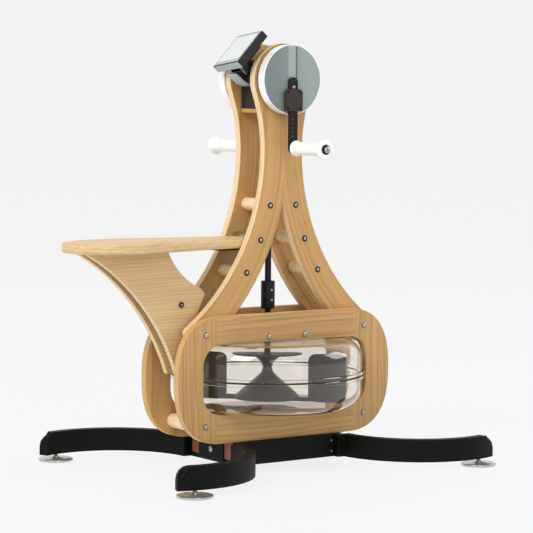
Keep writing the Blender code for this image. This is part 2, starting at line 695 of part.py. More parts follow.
def make_crank():
    hub = (0, 0, HUB_Z)
    half = DISC_FACE_Y - 0.004
    place("crank_shaft", rod(CRANK_SHAFT_R, -half, half, 20, "Y", hub), "zinc_steel", hub)
    for side, sign in SIDES:
        inner = DISC_FACE_Y - DISC_T
        edge = 0.0015
        profile = [(0, DISC_FACE_Y), (DISC_R - edge, DISC_FACE_Y), (DISC_R, DISC_FACE_Y - edge), (DISC_R, inner + edge),
                   (DISC_R - edge, inner), (CRANK_SHAFT_R + GAP, inner), (CRANK_SHAFT_R + GAP, half + GAP),
                   (0, half + GAP)]
        disc = turned([(r, sign * h) for r, h in profile], 48, "Y", hub)
        place(f"crank_disc_{side}", disc, "brushed_steel", hub)
        place(f"arm_clamp_{side}", clamp(sign), "black_steel", hub)


def clamp_hole_points():
    """The four screws of a clamp, from the drive axis."""
    half = CLAMP_WIDTH / 2 - 0.0085
    top = HUB_Z - CLAMP_TOP - 0.007
    bottom = HUB_Z - CLAMP_TOP - CLAMP_HEIGHT + 0.007
    return [(-half, top), (half, top), (-half, bottom), (half, bottom)]


def clamp(sign):
    """A bridge over the arm, with the channel it slides in and the heads of its four screws."""
    half = CLAMP_WIDTH / 2
    top = HUB_Z - CLAMP_TOP
    bottom = top - CLAMP_HEIGHT
    outline = [(-half, bottom), (half, bottom), (half, top - CLAMP_CHAMFER), (half - CLAMP_CHAMFER, top),
               (CLAMP_CHAMFER - half, top), (-half, top - CLAMP_CHAMFER)]
    outer_y = ARM_FACE_Y + GAP + CLAMP_T
    plate = board([outline], *span(sign, DISC_FACE_Y + GAP, outer_y))
    channel_half = ARM_WIDTH / 2 + GAP
    low, high = span(sign, DISC_FACE_Y - 0.01, ARM_FACE_Y + GAP)
    channel = block((-channel_half, low, bottom - 0.01), (channel_half, high, top + 0.01))
    plate = combine(plate, [channel], "DIFFERENCE")
    profile = [(0, outer_y - 0.001), (BOLT_R, outer_y - 0.001), (BOLT_R, outer_y + 0.0015), (0, outer_y + 0.0015)]
    heads = [turned([(r, sign * h) for r, h in profile], 10, "Y", (x, 0, z)) for x, z in clamp_hole_points()]
    return combine(plate, heads, "UNION")


def arm_outline():
    half = ARM_WIDTH / 2
    points = arc(0, HUB_Z + ARM_ABOVE - half, half, 0, 180, 8)
    return points + arc(0, HUB_Z - CRANK_R, half, 180, 360, 8)


def make_arm(side, sign):
    grip_axis = (0, 0, HUB_Z - CRANK_R)
    low, high = span(sign, DISC_FACE_Y + GAP, ARM_FACE_Y)
    holes = [circle(0, HUB_Z - HOLE_FIRST - HOLE_PITCH * count, HOLE_R, 8) for count in range(HOLE_COUNT)]
    flat = board([arm_outline()] + holes, low, high)
    start_y = DISC_FACE_Y + 0.001
    end_y = GRIP_END_Y + 2 * RUN
    spindle = [(0, start_y), (0.010, start_y), (0.010, GRIP_START_Y - RUN), (SPINDLE_R, GRIP_START_Y - RUN),
               (SPINDLE_R, end_y), (0.010, end_y), (0.010, end_y + 0.004), (0, end_y + 0.004)]
    spindle = turned([(r, sign * h) for r, h in spindle], 16, "Y", grip_axis)
    place(f"crank_arm_{side}", combine(flat, [spindle], "UNION"), "black_steel", (0, 0, HUB_Z))
    bore = SPINDLE_R + RUN
    grip = [(bore, GRIP_START_Y), (GRIP_INNER_FLANGE_R, GRIP_START_Y), (GRIP_INNER_FLANGE_R, GRIP_START_Y + 0.006),
            (GRIP_R, GRIP_START_Y + 0.012), (GRIP_R, GRIP_END_Y - 0.016), (GRIP_FLANGE_R, GRIP_END_Y - 0.008),
            (GRIP_FLANGE_R, GRIP_END_Y - 0.001), (GRIP_FLANGE_R - 0.001, GRIP_END_Y), (bore, GRIP_END_Y)]
    solid = turned([(r, sign * h) for r, h in grip], 24, "Y", grip_axis, closed=True)
    place(f"grip_{side}", solid, "white_plastic", grip_axis)


# Seat

def seat_half_width(x):
    """Half the seat's width at x: it swells from the nose, then narrows to pass between the uprights."""
    if x < SEAT_MAX_X:
        share = (x + SEAT_REACH) / (SEAT_MAX_X + SEAT_REACH)
        return SEAT_NOSE_HALF + (SEAT_MAX_HALF - SEAT_NOSE_HALF) * math.sin(math.pi / 2 * share)
    share = min(1.0, (x - SEAT_MAX_X) / (SEAT_NECK_X - SEAT_MAX_X))
    return SEAT_NECK_HALF + (SEAT_MAX_HALF - SEAT_NECK_HALF) * (1 + math.cos(math.pi * share)) / 2


def bracket_outline():
    """A seat bracket from the seat down its outer edge, round the foot and up the hollow edge."""
    top = SEAT_BOTTOM_Z - GAP
    dowel_x, dowel_z = leg_point(CORNER_BOLT_DEG)
    stop_x = dowel_x - DOWEL_R - GAP
    cx, cz, radius = SEAT_OUTER_ARC
    start = math.degrees(math.asin((top - cz) / radius))
    end = math.degrees(math.asin((SEAT_BRACKET_FOOT_Z - cz) / radius))
    points = arc(cx, cz, radius, start, end, 10)
    points += [(stop_x, SEAT_BRACKET_FOOT_Z), (stop_x, dowel_z + 0.008), (stop_x + 0.024, dowel_z + 0.044)]
    cx, cz, radius = SEAT_INNER_ARC
    hollow = arc(cx, cz, radius, 248, 180 - math.degrees(math.asin((top - cz) / radius)), 8)
    points += fillet(points[-1], SEAT_BRACKET_TIP, hollow[0], 0.006)
    return points + hollow


def make_seat():
    bar_x, bar_z = leg_point(cross_bolt_degs()[1])
    end_x = bar_x - DOWEL_R - GAP
    steps = 22
    stations = [end_x + (-SEAT_REACH - end_x) * step / steps for step in range(steps + 1)]
    near = [(x, -seat_half_width(x)) for x in stations]
    far = [(x, seat_half_width(x)) for x in reversed(stations)]
    place("seat_board", board([near + far], SEAT_BOTTOM_Z, SEAT_TOP_Z, "XY"), "ash_wood")
    spacer_x, spacer_z = SEAT_SPACER
    outline = bracket_outline()
    half = SEAT_BRACKET_T / 2
    for side, sign in SIDES:
        low, high = span(sign, SEAT_BRACKET_Y - half, SEAT_BRACKET_Y + half)
        hole = circle(spacer_x, spacer_z, BOLT_R + GAP, 10)
        place(f"seat_bracket_{side}", board([outline, hole], low, high), "ash_wood")
    inner = SEAT_BRACKET_Y - half - GAP
    outer = SEAT_BRACKET_Y + half + GAP
    end = [(0, outer + BOLT_HEAD_T), (BOLT_HEAD_R, outer + BOLT_HEAD_T), (BOLT_HEAD_R, outer), (BOLT_R, outer),
           (BOLT_R, inner), (0.009, inner)]
    profile = end + [(r, -h) for r, h in reversed(end)]
    place("seat_spacer", turned(profile, 12, "Y", (spacer_x, 0, spacer_z)), "zinc_steel")
    plate_top = min(SEAT_BOTTOM_Z, bar_z - DOWEL_R) - GAP
    lip_x = bar_x + DOWEL_R + GAP
    hook = [(bar_x - 0.110, plate_top), (bar_x - 0.110, plate_top - SEAT_HOOK_T),
            (lip_x + SEAT_HOOK_T, plate_top - SEAT_HOOK_T), (lip_x + SEAT_HOOK_T, bar_z),
            (lip_x, bar_z), (lip_x, plate_top)]
    place("seat_hook", board([hook], -SEAT_HOOK_HALF, SEAT_HOOK_HALF), "black_steel")


# Base

def bow_leg(side):
    """One leg of the rear bow: a board on edge bent to an arc, with a rounded upper tip."""
    sweep = math.degrees(math.asin((BOW_REACH - BOW_BEND_X) / (BOW_BEND_R + BOW_T / 2)))
    outer = arc(BOW_BEND_X, -BOW_BEND_Y, BOW_BEND_R + BOW_T / 2, 270 + sweep, 180, 14)
    inner = arc(BOW_BEND_X, -BOW_BEND_Y, BOW_BEND_R - BOW_T / 2, 270 + sweep, 180, 14)
    outline = [(x, side * -y) for x, y in outer + inner[::-1]]
    leg = board([outline], BOW_BOTTOM_Z, BOW_TOP_Z, "XY")
    work = bmesh.new()
    work.from_mesh(leg)
    tips = [Vector((*outline[0], BOW_TOP_Z)), Vector((*outline[-1], BOW_TOP_Z))]
    edge = min(work.edges, key=lambda e: sum(min((v.co - tip).length for v in e.verts) for tip in tips))
    bmesh.ops.bevel(work, geom=[edge], offset=BOW_TIP_R, segments=4, profile=0.5, affect="EDGES")
    return finished(work)


def bow(sign):
    """Two bent legs joined by a straight board, with a blind hole for each foot's stud."""
    low, high = BOW_MIDDLE_X
    middle = block((low, -BOW_MIDDLE_HALF, BOW_BOTTOM_Z), (high, BOW_MIDDLE_HALF, BOW_TOP_Z))
    mesh = combine(middle, [bow_leg(side) for _, side in SIDES], "UNION")
    top = STUD_TOP_Z + 0.016
    holes = [rod(STUD_R + GAP, BOW_BOTTOM_Z - 0.01, top, 12, "Z", (FOOT_X, side * FOOT_Y, 0)) for _, side in SIDES]
    mesh = combine(mesh, holes, "DIFFERENCE")
    if sign < 0:
        mesh.transform(Matrix.Rotation(math.pi, 4, "Z"))
    return mesh


def make_base():
    inner, outer = BOW_MIDDLE_X
    half = CLEAT_Y[0] + 0.001
    for end, sign in ENDS:
        place(f"base_bow_{end}", bow(sign), "black_lacquer")
        low, high = span(sign, outer + GAP, outer + BASE_CLAMP_T)
        middle = block((low, -half, BOW_BOTTOM_Z + 0.006), (high, half, BOW_TOP_Z - 0.004))
        low, high = span(sign, outer + GAP, outer + CLEAT_T)
        cleats = []
        for _, side in SIDES:
            near, far = span(side, *CLEAT_Y)
            cleats.append(block((low, near, BOW_TOP_Z - CLEAT_HEIGHT), (high, far, BOW_TOP_Z)))
        place(f"base_clamp_{end}", combine(middle, cleats, "UNION"), "black_lacquer")
    for side, sign in SIDES:
        low, high = span(sign, RAIL_OUTER_Y - RAIL_T, RAIL_OUTER_Y)
        rail = block((GAP - inner, low, BOW_BOTTOM_Z), (inner - GAP, high, BOW_TOP_Z))
        place(f"base_rail_{side}", rail, "black_lacquer")


def make_feet():
    profile = [(0, 0), (FOOT_R - 0.003, 0), (FOOT_R, 0.003), (FOOT_R, FOOT_T - 0.002), (FOOT_R - 0.002, FOOT_T),
               (0.011, FOOT_T + 0.0005), (STUD_R, FOOT_T + 0.004), (STUD_R, STUD_TOP_Z), (0, STUD_TOP_Z)]
    for side, side_sign in SIDES:
        for end, end_sign in ENDS:
            at = (end_sign * FOOT_X, side_sign * FOOT_Y, 0)
            place(f"foot_{side}_{end}", turned(profile, 24, "Z", at), "zinc_steel", at)


# Monitor

def swivel_matrix():
    """Turns the monitor's head from straight to where it is left at rest."""
    pivot = Vector((STRAP_REST[0], 0, STRAP_REST[1]))
    turn = Matrix.Rotation(math.radians(SWIVEL_REST_DEG), 4, SWIVEL_AXIS)
    return Matrix.Translation(pivot) @ turn @ Matrix.Translation(-pivot)


def tilt_point():
    """The tilt axis above the strap, before the swivel."""
    return Vector((STRAP_REST[0], 0, STRAP_REST[1])) + SWIVEL_AXIS * TILT_RISE


def head_matrix():
    """From the monitor's own axes (X out of the face, Z up the face) to the machine."""
    angle = math.radians(TILT_REST_DEG)
    out = Vector((-math.cos(angle), 0, math.sin(angle)))
    up = Vector((math.sin(angle), 0, math.cos(angle)))
    side = Vector((0, -1, 0))
    turn = Matrix((out, side, up)).transposed().to_4x4()
    return swivel_matrix() @ Matrix.Translation(tilt_point()) @ turn


def knuckle():
    """The hinge barrel with its stalk, on the strap."""
    barrel = [(0, -BARREL_HALF - 0.008), (0.004, -BARREL_HALF - 0.008), (0.004, -BARREL_HALF), (BARREL_R, -BARREL_HALF)]
    barrel += [(r, -h) for r, h in reversed(barrel)]
    point = tilt_point()
    top = turned(barrel, 16, "Y", point)
    stalk = block((-0.006, -0.012, -TILT_RISE + GAP), (0.006, 0.012, -BARREL_R * 0.5))
    lean = math.atan2(SWIVEL_AXIS.x, SWIVEL_AXIS.z)
    stalk.transform(Matrix.Translation(point) @ Matrix.Rotation(lean, 4, "Y"))
    mesh = combine(top, [stalk], "UNION")
    mesh.transform(swivel_matrix())
    return mesh


def housing():
    """The monitor's case with a raised back and two ears on the tilt pin."""
    back = MONITOR_FACE - MONITOR_T
    half_w = MONITOR_WIDTH / 2
    low = MONITOR_RISE - MONITOR_HEIGHT / 2
    high = MONITOR_RISE + MONITOR_HEIGHT / 2
    case = block((back, -half_w, low), (MONITOR_FACE, half_w, high))
    step = block((BARREL_R + 0.001, -MONITOR_BACK_HALF, 0.012), (back + 0.001, MONITOR_BACK_HALF, high - 0.020))
    solids = [step]
    for sign in (-1, 1):
        near, far = sorted((sign * (BARREL_HALF + RUN), sign * (BARREL_HALF + 0.007)))
        solids.append(block((-0.007, near, -0.007), (back + 0.001, far, 0.014)))
    mesh = combine(case, solids, "UNION")
    mesh = combine(mesh, [rod(0.004 + RUN, -0.1, 0.1, 12, "Y")], "DIFFERENCE")
    mesh.transform(head_matrix())
    return mesh


def screen():
    half_w = MONITOR_WIDTH / 2 - SCREEN_MARGIN
    low = MONITOR_RISE - MONITOR_HEIGHT / 2 + SCREEN_MARGIN
    high = MONITOR_RISE + MONITOR_HEIGHT / 2 - SCREEN_MARGIN
    front = MONITOR_FACE + GAP
    mesh = block((front, -half_w, low), (front + SCREEN_T, half_w, high))
    mesh.transform(head_matrix())
    return mesh


def strap_outline():
    """The bent strap that carries the monitor, from the gearbox cover out and up."""
    lean = Vector((-SWIVEL_AXIS.z, SWIVEL_AXIS.x))
    normal = Vector((SWIVEL_AXIS.x, SWIVEL_AXIS.z))
    rest = Vector(STRAP_REST) - normal * GAP
    upper = [rest + lean * 0.018, rest - lean * 0.018]
    bend = upper[1]
    wall_x = -COVER_HALF_LENGTH - GAP
    upper += [Vector((bend.x + 0.014, bend.y - 0.006)), Vector((wall_x, bend.y - 0.006))]
    lower = [Vector((wall_x, bend.y - 0.006 - STRAP_T)), Vector((bend.x + 0.012, bend.y - 0.006 - STRAP_T)),
             bend - normal * STRAP_T, upper[0] - normal * STRAP_T]
    return [tuple(point) for point in upper + lower]


def make_monitor():
    place("monitor_arm", board([strap_outline()], -STRAP_HALF, STRAP_HALF), "grey_plastic")
    pivot = (STRAP_REST[0], 0, STRAP_REST[1])
    place("monitor_knuckle", knuckle(), "black_plastic", pivot)
    axis_point = swivel_matrix() @ tilt_point()
    place("monitor_housing", housing(), "black_plastic", axis_point)
    place("monitor_screen", screen(), "screen", axis_point)


def main():
    for old in list(bpy.data.objects):
        bpy.data.objects.remove(old)
    make_uprights()
    make_cross_pieces()
    make_frames()
    make_tank()
    make_bridge()
    make_gearbox()
    make_bearings()
    make_gears()
    make_paddle()
    make_drive()
    make_crank()
    for side, sign in SIDES:
        make_arm(side, sign)
    make_seat()
    make_base()
    make_feet()
    make_monitor()


main()
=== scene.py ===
# %% [markdown]
# # An arm-crank trainer with a water tank, dressed for a studio picture
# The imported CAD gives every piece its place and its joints. This script gives the pieces their looks: oiled
# ash with real grain, brushed discs, a clear tank with its paddle, black lacquer and white grips.
# Boards keep their CAD shape and get rounded edges; turned pieces are drawn again with smoother profiles.

# %% Load the frame
import json
import math

import bmesh
import bpy
from mathutils import Matrix, Vector


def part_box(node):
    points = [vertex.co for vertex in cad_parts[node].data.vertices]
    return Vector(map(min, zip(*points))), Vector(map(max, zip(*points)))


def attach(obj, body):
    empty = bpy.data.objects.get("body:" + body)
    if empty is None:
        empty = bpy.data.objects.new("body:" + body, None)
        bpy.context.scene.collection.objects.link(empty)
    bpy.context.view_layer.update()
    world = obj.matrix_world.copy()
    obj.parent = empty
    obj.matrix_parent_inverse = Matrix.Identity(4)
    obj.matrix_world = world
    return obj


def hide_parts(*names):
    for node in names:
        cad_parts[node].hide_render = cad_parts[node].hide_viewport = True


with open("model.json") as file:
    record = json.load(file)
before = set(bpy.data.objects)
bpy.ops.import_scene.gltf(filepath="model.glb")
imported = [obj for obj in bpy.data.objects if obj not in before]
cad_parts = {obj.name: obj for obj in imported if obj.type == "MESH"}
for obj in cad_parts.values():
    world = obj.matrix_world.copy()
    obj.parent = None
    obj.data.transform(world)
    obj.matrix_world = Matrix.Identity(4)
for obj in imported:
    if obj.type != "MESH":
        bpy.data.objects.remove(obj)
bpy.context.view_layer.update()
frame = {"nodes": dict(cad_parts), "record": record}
BODY_OF = {node: body for body, nodes in frame["record"]["behaviour"]["bodies"].items() for node in nodes}

# %% [markdown]
# ## Sizes the looks need
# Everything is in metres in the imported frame. The drive axis stands a little behind the origin.

# %% Shared sizes
DRIVE_X = 0.054
HUB_Z = 1.0765
WAIST_Z = 0.882
LEG_CENTRE_X = 0.6533          # centre of a leg's arcs, from the drive axis
LEG_MIDDLE_R = 0.629
FRAME_Z = 0.2585
FRAME_JOINT_X = 0.235          # glue line between a frame's end board and its rails
UPRIGHT_FACE_Y = 0.070
FRAME_FACE_Y = 0.0933
GRIP_Z = HUB_Z - 0.188
WASHER_T = 0.0008
TANK_BOTTOM_Z = 0.1628
TANK_TOP_Z = 0.353

# %% [markdown]
# ## Small helpers
# One helper adds a node with its settings and links, so each material reads as a list of its steps.

# %% Node and mesh helpers
def colour(hex_code):
    """A hex sRGB colour as the linear RGBA that the shaders take."""
    parts = [int(hex_code[i:i + 2], 16) / 255 for i in (1, 3, 5)]
    return (*[c / 12.92 if c <= 0.04045 else ((c + 0.055) / 1.055) ** 2.4 for c in parts], 1.0)


def add(tree, kind, inputs=None, **settings):
    """Add a node; an input given as a socket is linked, and any other value is set."""
    made = tree.nodes.new(kind)
    for key, value in settings.items():
        setattr(made, key, value)
    for key, value in (inputs or {}).items():
        if isinstance(value, bpy.types.NodeSocket):
            tree.links.new(value, made.inputs[key])
        else:
            made.inputs[key].default_value = value
    return made


def calc(tree, operation, *values):
    """One Math node's result."""
    return add(tree, "ShaderNodeMath", dict(enumerate(values)), operation=operation).outputs[0]


def new_material(name):
    """A material with its node tree and its Principled shader."""
    made = bpy.data.materials.new(name)
    made.use_nodes = True
    return made, made.node_tree, made.node_tree.nodes["Principled BSDF"]


def noise(tree, vector, scale, detail=3.0, rough=0.5):
    """A noise texture's value at a scale in waves per metre."""
    return add(tree, "ShaderNodeTexNoise", {"Vector": vector, "Scale": scale, "Detail": detail,
                                           "Roughness": rough}).outputs["Fac"]


def stretched(tree, vector, scale):
    """The same coordinates, scaled by axis."""
    return add(tree, "ShaderNodeVectorMath", {0: vector, 1: scale}, operation="MULTIPLY").outputs[0]


def ramp(tree, value, stops):
    """A colour ramp from (position, hex) stops."""
    made = add(tree, "ShaderNodeValToRGB", {"Fac": value})
    elements = made.color_ramp.elements
    while len(elements) < len(stops):
        elements.new(0.5)
    for element, (position, hex_code) in zip(elements, stops):
        element.position = position
        element.color = colour(hex_code)
    return made.outputs["Color"]


def blend(tree, share, first, second):
    """A mix of two colours, each a socket or an RGBA value."""
    return add(tree, "ShaderNodeMix", {0: share, 6: first, 7: second}, data_type="RGBA").outputs[2]


def rounded(mesh, width, segments=3, limit=35, rims=0.0032, split=False):
    """Round a mesh's sharp edges, but not the rims of small holes, and shade it by weighted normals.

    A long bent face has to be split into triangles first, or its rounded outline fills in wrongly.
    """
    work = bmesh.new()
    work.from_mesh(mesh)
    bmesh.ops.remove_doubles(work, verts=work.verts, dist=2e-5)
    bmesh.ops.dissolve_limit(work, angle_limit=math.radians(1), verts=work.verts, edges=work.edges)
    if split:
        bmesh.ops.triangulate(work, faces=[face for face in work.faces if len(face.verts) > 8])
    bmesh.ops.recalc_face_normals(work, faces=work.faces)
    sharp = []
    for edge in work.edges:
        if edge.is_manifold and edge.calc_face_angle(0) > math.radians(limit) and edge.calc_length() > rims:
            sharp.append(edge)
    if width:
        bmesh.ops.bevel(work, geom=sharp, offset=width, segments=segments, profile=0.5, affect="EDGES",
                        clamp_overlap=not split)
    made = bpy.data.meshes.new("rounded")
    work.to_mesh(made)
    work.free()
    made.shade_smooth()
    made.set_sharp_from_angle(angle=math.radians(limit + 5))
    return weighted(made)


def weighted(mesh, cutters=(), operation="DIFFERENCE"):
    """The mesh after its Boolean cuts, with normals that keep flat faces flat."""
    holder = bpy.data.objects.new("holder", mesh)
    bpy.context.scene.collection.objects.link(holder)
    for cutter in cutters:
        step = holder.modifiers.new("cut", "BOOLEAN")
        step.operation = operation
        step.object = cutter
        step.solver = "EXACT"
    step = holder.modifiers.new("normals", "WEIGHTED_NORMAL")
    step.keep_sharp = True
    graph = bpy.context.evaluated_depsgraph_get()
    graph.update()
    made = bpy.data.meshes.new_from_object(holder.evaluated_get(graph))
    for used in (holder, *cutters):
        bpy.data.objects.remove(used)
    return made


def piece(name, mesh, material, body, replaced=()):
    """A finished piece: its material, the body it moves with, and the CAD nodes it stands for."""
    mesh.name = name
    mesh.materials.clear()
    mesh.materials.append(material)
    made = bpy.data.objects.new(name, mesh)
    bpy.context.scene.collection.objects.link(made)
    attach(made, body)
    if replaced:
        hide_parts(*replaced)
    return made


def dress(node, material, width, segments=3, limit=35, split=False):
    """A CAD node with rounded edges and its material."""
    copy = frame["nodes"][node].data.copy()
    mesh = rounded(copy, width, segments, limit, split=split)
    return piece(node + "_look", mesh, material, BODY_OF[node], [node])


def lathe(profile, axis="Z", at=(0.0, 0.0, 0.0), steps=96, closed=False, limit=35):
    """A turned solid from (radius, height) points."""
    work = bmesh.new()
    points = [work.verts.new((radius, 0.0, height)) for radius, height in profile]
    edges = [work.edges.new(pair) for pair in zip(points, points[1:])]
    if closed:
        edges.append(work.edges.new((points[-1], points[0])))
    bmesh.ops.spin(work, geom=points + edges, cent=(0, 0, 0), axis=(0, 0, 1), angle=math.tau, steps=steps,
                   use_merge=True)
    bmesh.ops.remove_doubles(work, verts=work.verts, dist=1e-6)
    bmesh.ops.recalc_face_normals(work, faces=work.faces)
    turn = Matrix.Rotation(-math.pi / 2, 4, "X") if axis == "Y" else Matrix.Identity(4)
    work.transform(Matrix.Translation(at) @ turn)
    made = bpy.data.meshes.new("lathe")
    work.to_mesh(made)
    work.free()
    made.shade_smooth()
    made.set_sharp_from_angle(angle=math.radians(limit))
    return made


def block(low, high):
    """A box between two corners."""
    work = bmesh.new()
    size = Vector(high) - Vector(low)
    place = Matrix.Translation((Vector(high) + Vector(low)) / 2) @ Matrix.Diagonal((*size, 1))
    bmesh.ops.create_cube(work, size=1.0, matrix=place)
    made = bpy.data.meshes.new("block")
    work.to_mesh(made)
    work.free()
    return made


def joined(meshes):
    """Several solids in one mesh."""
    work = bmesh.new()
    for mesh in meshes:
        work.from_mesh(mesh)
    made = bpy.data.meshes.new("joined")
    work.to_mesh(made)
    work.free()
    return made


def side_span(sign, inner, outer):
    """The y range on one side of the machine."""
    return (inner, outer) if sign > 0 else (-outer, -inner)


def facing_out(sign):
    """The turn that points a head's face away from the machine's middle."""
    return (0.0, 0.0, 0.0 if sign > 0 else math.pi)


SIDES = (("right", -1), ("left", 1))
ENDS = (("front", -1), ("rear", 1))

# %% [markdown]
# ## Ash
# The boards are mostly straight-grained: long fine streaks, with a few faint arches where a face crosses the
# growth rings. Short dark dashes are open pores. The thin edge faces and their rounds get a painted highlight,
# paler by which way each face points.
# Grain follows each leg's curve, and changes at every glue line.

# %% Ash material
RING_WIDTH = 0.009
PITH_DEPTH = 0.14              # how far behind the board the heart of the log lay


def grain_axes(tree, x, y, z, mode):
    """(along, across, depth) sockets of the wood's own axes."""
    by_letter = {"x": x, "y": y, "z": z}
    if mode in ("xyz", "xzy", "zxy", "yxz"):
        return [by_letter[letter] for letter in mode]
    off = calc(tree, "SUBTRACT", x, DRIVE_X)
    side = calc(tree, "SIGN", off)
    if mode == "leg":
        reach = calc(tree, "SUBTRACT", LEG_CENTRE_X, calc(tree, "ABSOLUTE", off))
        drop = calc(tree, "MAXIMUM", calc(tree, "SUBTRACT", WAIST_Z, z), 0.0)
        radius = calc(tree, "SQRT", calc(tree, "ADD", calc(tree, "MULTIPLY", reach, reach),
                                         calc(tree, "MULTIPLY", drop, drop)))
        above = calc(tree, "MAXIMUM", calc(tree, "SUBTRACT", z, WAIST_Z), 0.0)
        along = calc(tree, "SUBTRACT", above,
                     calc(tree, "MULTIPLY", calc(tree, "ARCTAN2", drop, reach), LEG_MIDDLE_R))
        across = calc(tree, "SUBTRACT", radius, LEG_MIDDLE_R)
        return calc(tree, "MULTIPLY_ADD", side, 0.9, along), across, y
    is_end = calc(tree, "GREATER_THAN", calc(tree, "ABSOLUTE", off), FRAME_JOINT_X)
    low = calc(tree, "SUBTRACT", z, FRAME_Z)
    rail_across = calc(tree, "SUBTRACT", calc(tree, "ABSOLUTE", low), 0.13)
    end_across = calc(tree, "SUBTRACT", calc(tree, "ABSOLUTE", off), 0.30)

    def choose(rail, end):
        return add(tree, "ShaderNodeMix", {0: is_end, 2: rail, 3: end}, data_type="FLOAT").outputs[0]

    along = choose(calc(tree, "MULTIPLY_ADD", calc(tree, "SIGN", low), 0.7, off),
                   calc(tree, "MULTIPLY_ADD", side, 1.3, low))
    return along, choose(rail_across, end_across), y


def ash(name, mode, light="#cba162", mid="#a2753c", pale="#f0d6a8", seed=0.0, heart=0.012, edges=1.0):
    """Oiled ash; mode names the axes along, across and through the board, or the shape its grain follows."""
    made, tree, shader = new_material(name)
    point = add(tree, "ShaderNodeTexCoord").outputs["Object"]
    split = add(tree, "ShaderNodeSeparateXYZ", {0: point})
    along, across, depth = grain_axes(tree, *split.outputs[:3], mode)
    shifted = calc(tree, "ADD", along, seed)
    wood = add(tree, "ShaderNodeCombineXYZ", {0: shifted, 1: across, 2: depth}).outputs[0]
    # long streaks carry most of the figure
    streak = noise(tree, stretched(tree, wood, (2.0, 120.0, 120.0)), 1.0, 4.0, 0.6)
    fibre = noise(tree, stretched(tree, wood, (14.0, 800.0, 800.0)), 1.0, 3.0, 0.6)
    # the distance from a wandering pith line gives the few faint arches
    wander = noise(tree, stretched(tree, wood, (1.5, 3.0, 3.0)), 1.0, 2.0)
    sideways = calc(tree, "MULTIPLY_ADD", wander, 0.06, calc(tree, "ADD", across, heart - 0.03))
    inward = calc(tree, "ADD", depth, PITH_DEPTH)
    radius = calc(tree, "SQRT", calc(tree, "ADD", calc(tree, "MULTIPLY", sideways, sideways),
                                     calc(tree, "MULTIPLY", inward, inward)))
    share = calc(tree, "FRACT", calc(tree, "MULTIPLY_ADD", streak, 0.5, calc(tree, "DIVIDE", radius, RING_WIDTH)))
    rings = calc(tree, "POWER", share, 2.0)
    fine = calc(tree, "MULTIPLY_ADD", fibre, 0.5, -0.22)
    ringed = calc(tree, "MULTIPLY_ADD", rings, -0.38, fine)
    figure = calc(tree, "MULTIPLY_ADD", streak, 1.3, ringed)
    body = ramp(tree, figure, [(0.10, mid), (0.80, light)])
    if edges:
        # painted highlight: faces that do not face along Y, the thin edges and their rounds, are mixed towards
        # the pale tone
        facing = add(tree, "ShaderNodeSeparateXYZ", {0: add(tree, "ShaderNodeTexCoord").outputs["Normal"]})
        broad = calc(tree, "ABSOLUTE", facing.outputs[1])
        edge_highlight = calc(tree, "MULTIPLY", calc(tree, "SUBTRACT", 1.0, broad), edges)
        body = blend(tree, edge_highlight, body, ramp(tree, figure, [(0.1, light), (0.6, pale)]))
    dash = noise(tree, stretched(tree, wood, (60.0, 1500.0, 1500.0)), 1.0, 2.0)
    pores = calc(tree, "GREATER_THAN", dash, 0.66)
    pored = blend(tree, calc(tree, "MULTIPLY", pores, 0.28), body, colour("#8a5a2c"))
    tree.links.new(pored, shader.inputs["Base Color"])
    tree.links.new(calc(tree, "MULTIPLY_ADD", fibre, 0.18, 0.40), shader.inputs["Roughness"])
    height = calc(tree, "SUBTRACT", calc(tree, "MULTIPLY", fibre, 0.4), pores)
    bump = add(tree, "ShaderNodeBump", {"Height": height, "Strength": 0.25, "Distance": 0.0002})
    tree.links.new(bump.outputs[0], shader.inputs["Normal"])
    # a thin oil film gives the soft sheen along the fibres
    shader.inputs["Coat Weight"].default_value = 0.08
    shader.inputs["Coat Roughness"].default_value = 0.35
    shader.inputs["IOR"].default_value = 1.5
    return made


ASH_LEG = ash("oiled ash, along the leg", "leg", seed=0.3)
ASH_LEG_FAR = ash("oiled ash, along the far leg", "leg", seed=2.1, heart=-0.02)
FRAME_TONES = {"light": "#cfa668", "mid": "#aa7d49", "pale": "#cfa668"}
ASH_FRAME = ash("oiled ash, frame boards", "frame", seed=5.2, **FRAME_TONES)
ASH_FRAME_FAR = ash("oiled ash, far frame boards", "frame", seed=8.4, **FRAME_TONES)
ASH_SEAT = ash("oiled ash, seat", "xyz", light="#e3c695", mid="#c79f66", seed=1.1, edges=0.0)
ASH_BRACKET = ash("oiled ash, seat bracket", "xzy", light="#dcbd8a", mid="#c6a06a", seed=3.3)
ASH_CROSS = ash("ash, cross boards", "xyz", light="#cd9f60", mid="#a8763f", seed=4.4, edges=0.0)
ASH_DOWEL = ash("turned ash dowel", "yxz", light="#f8e4bb", mid="#efd2a0", seed=6.0, edges=0.0)
CLEAT_WOOD = ash("red brown hardwood", "zxy", light="#8a4a2c", mid="#6f351e", seed=7.0, edges=0.0)
print("wood materials:", [m.name for m in bpy.data.materials if "ash" in m.name])
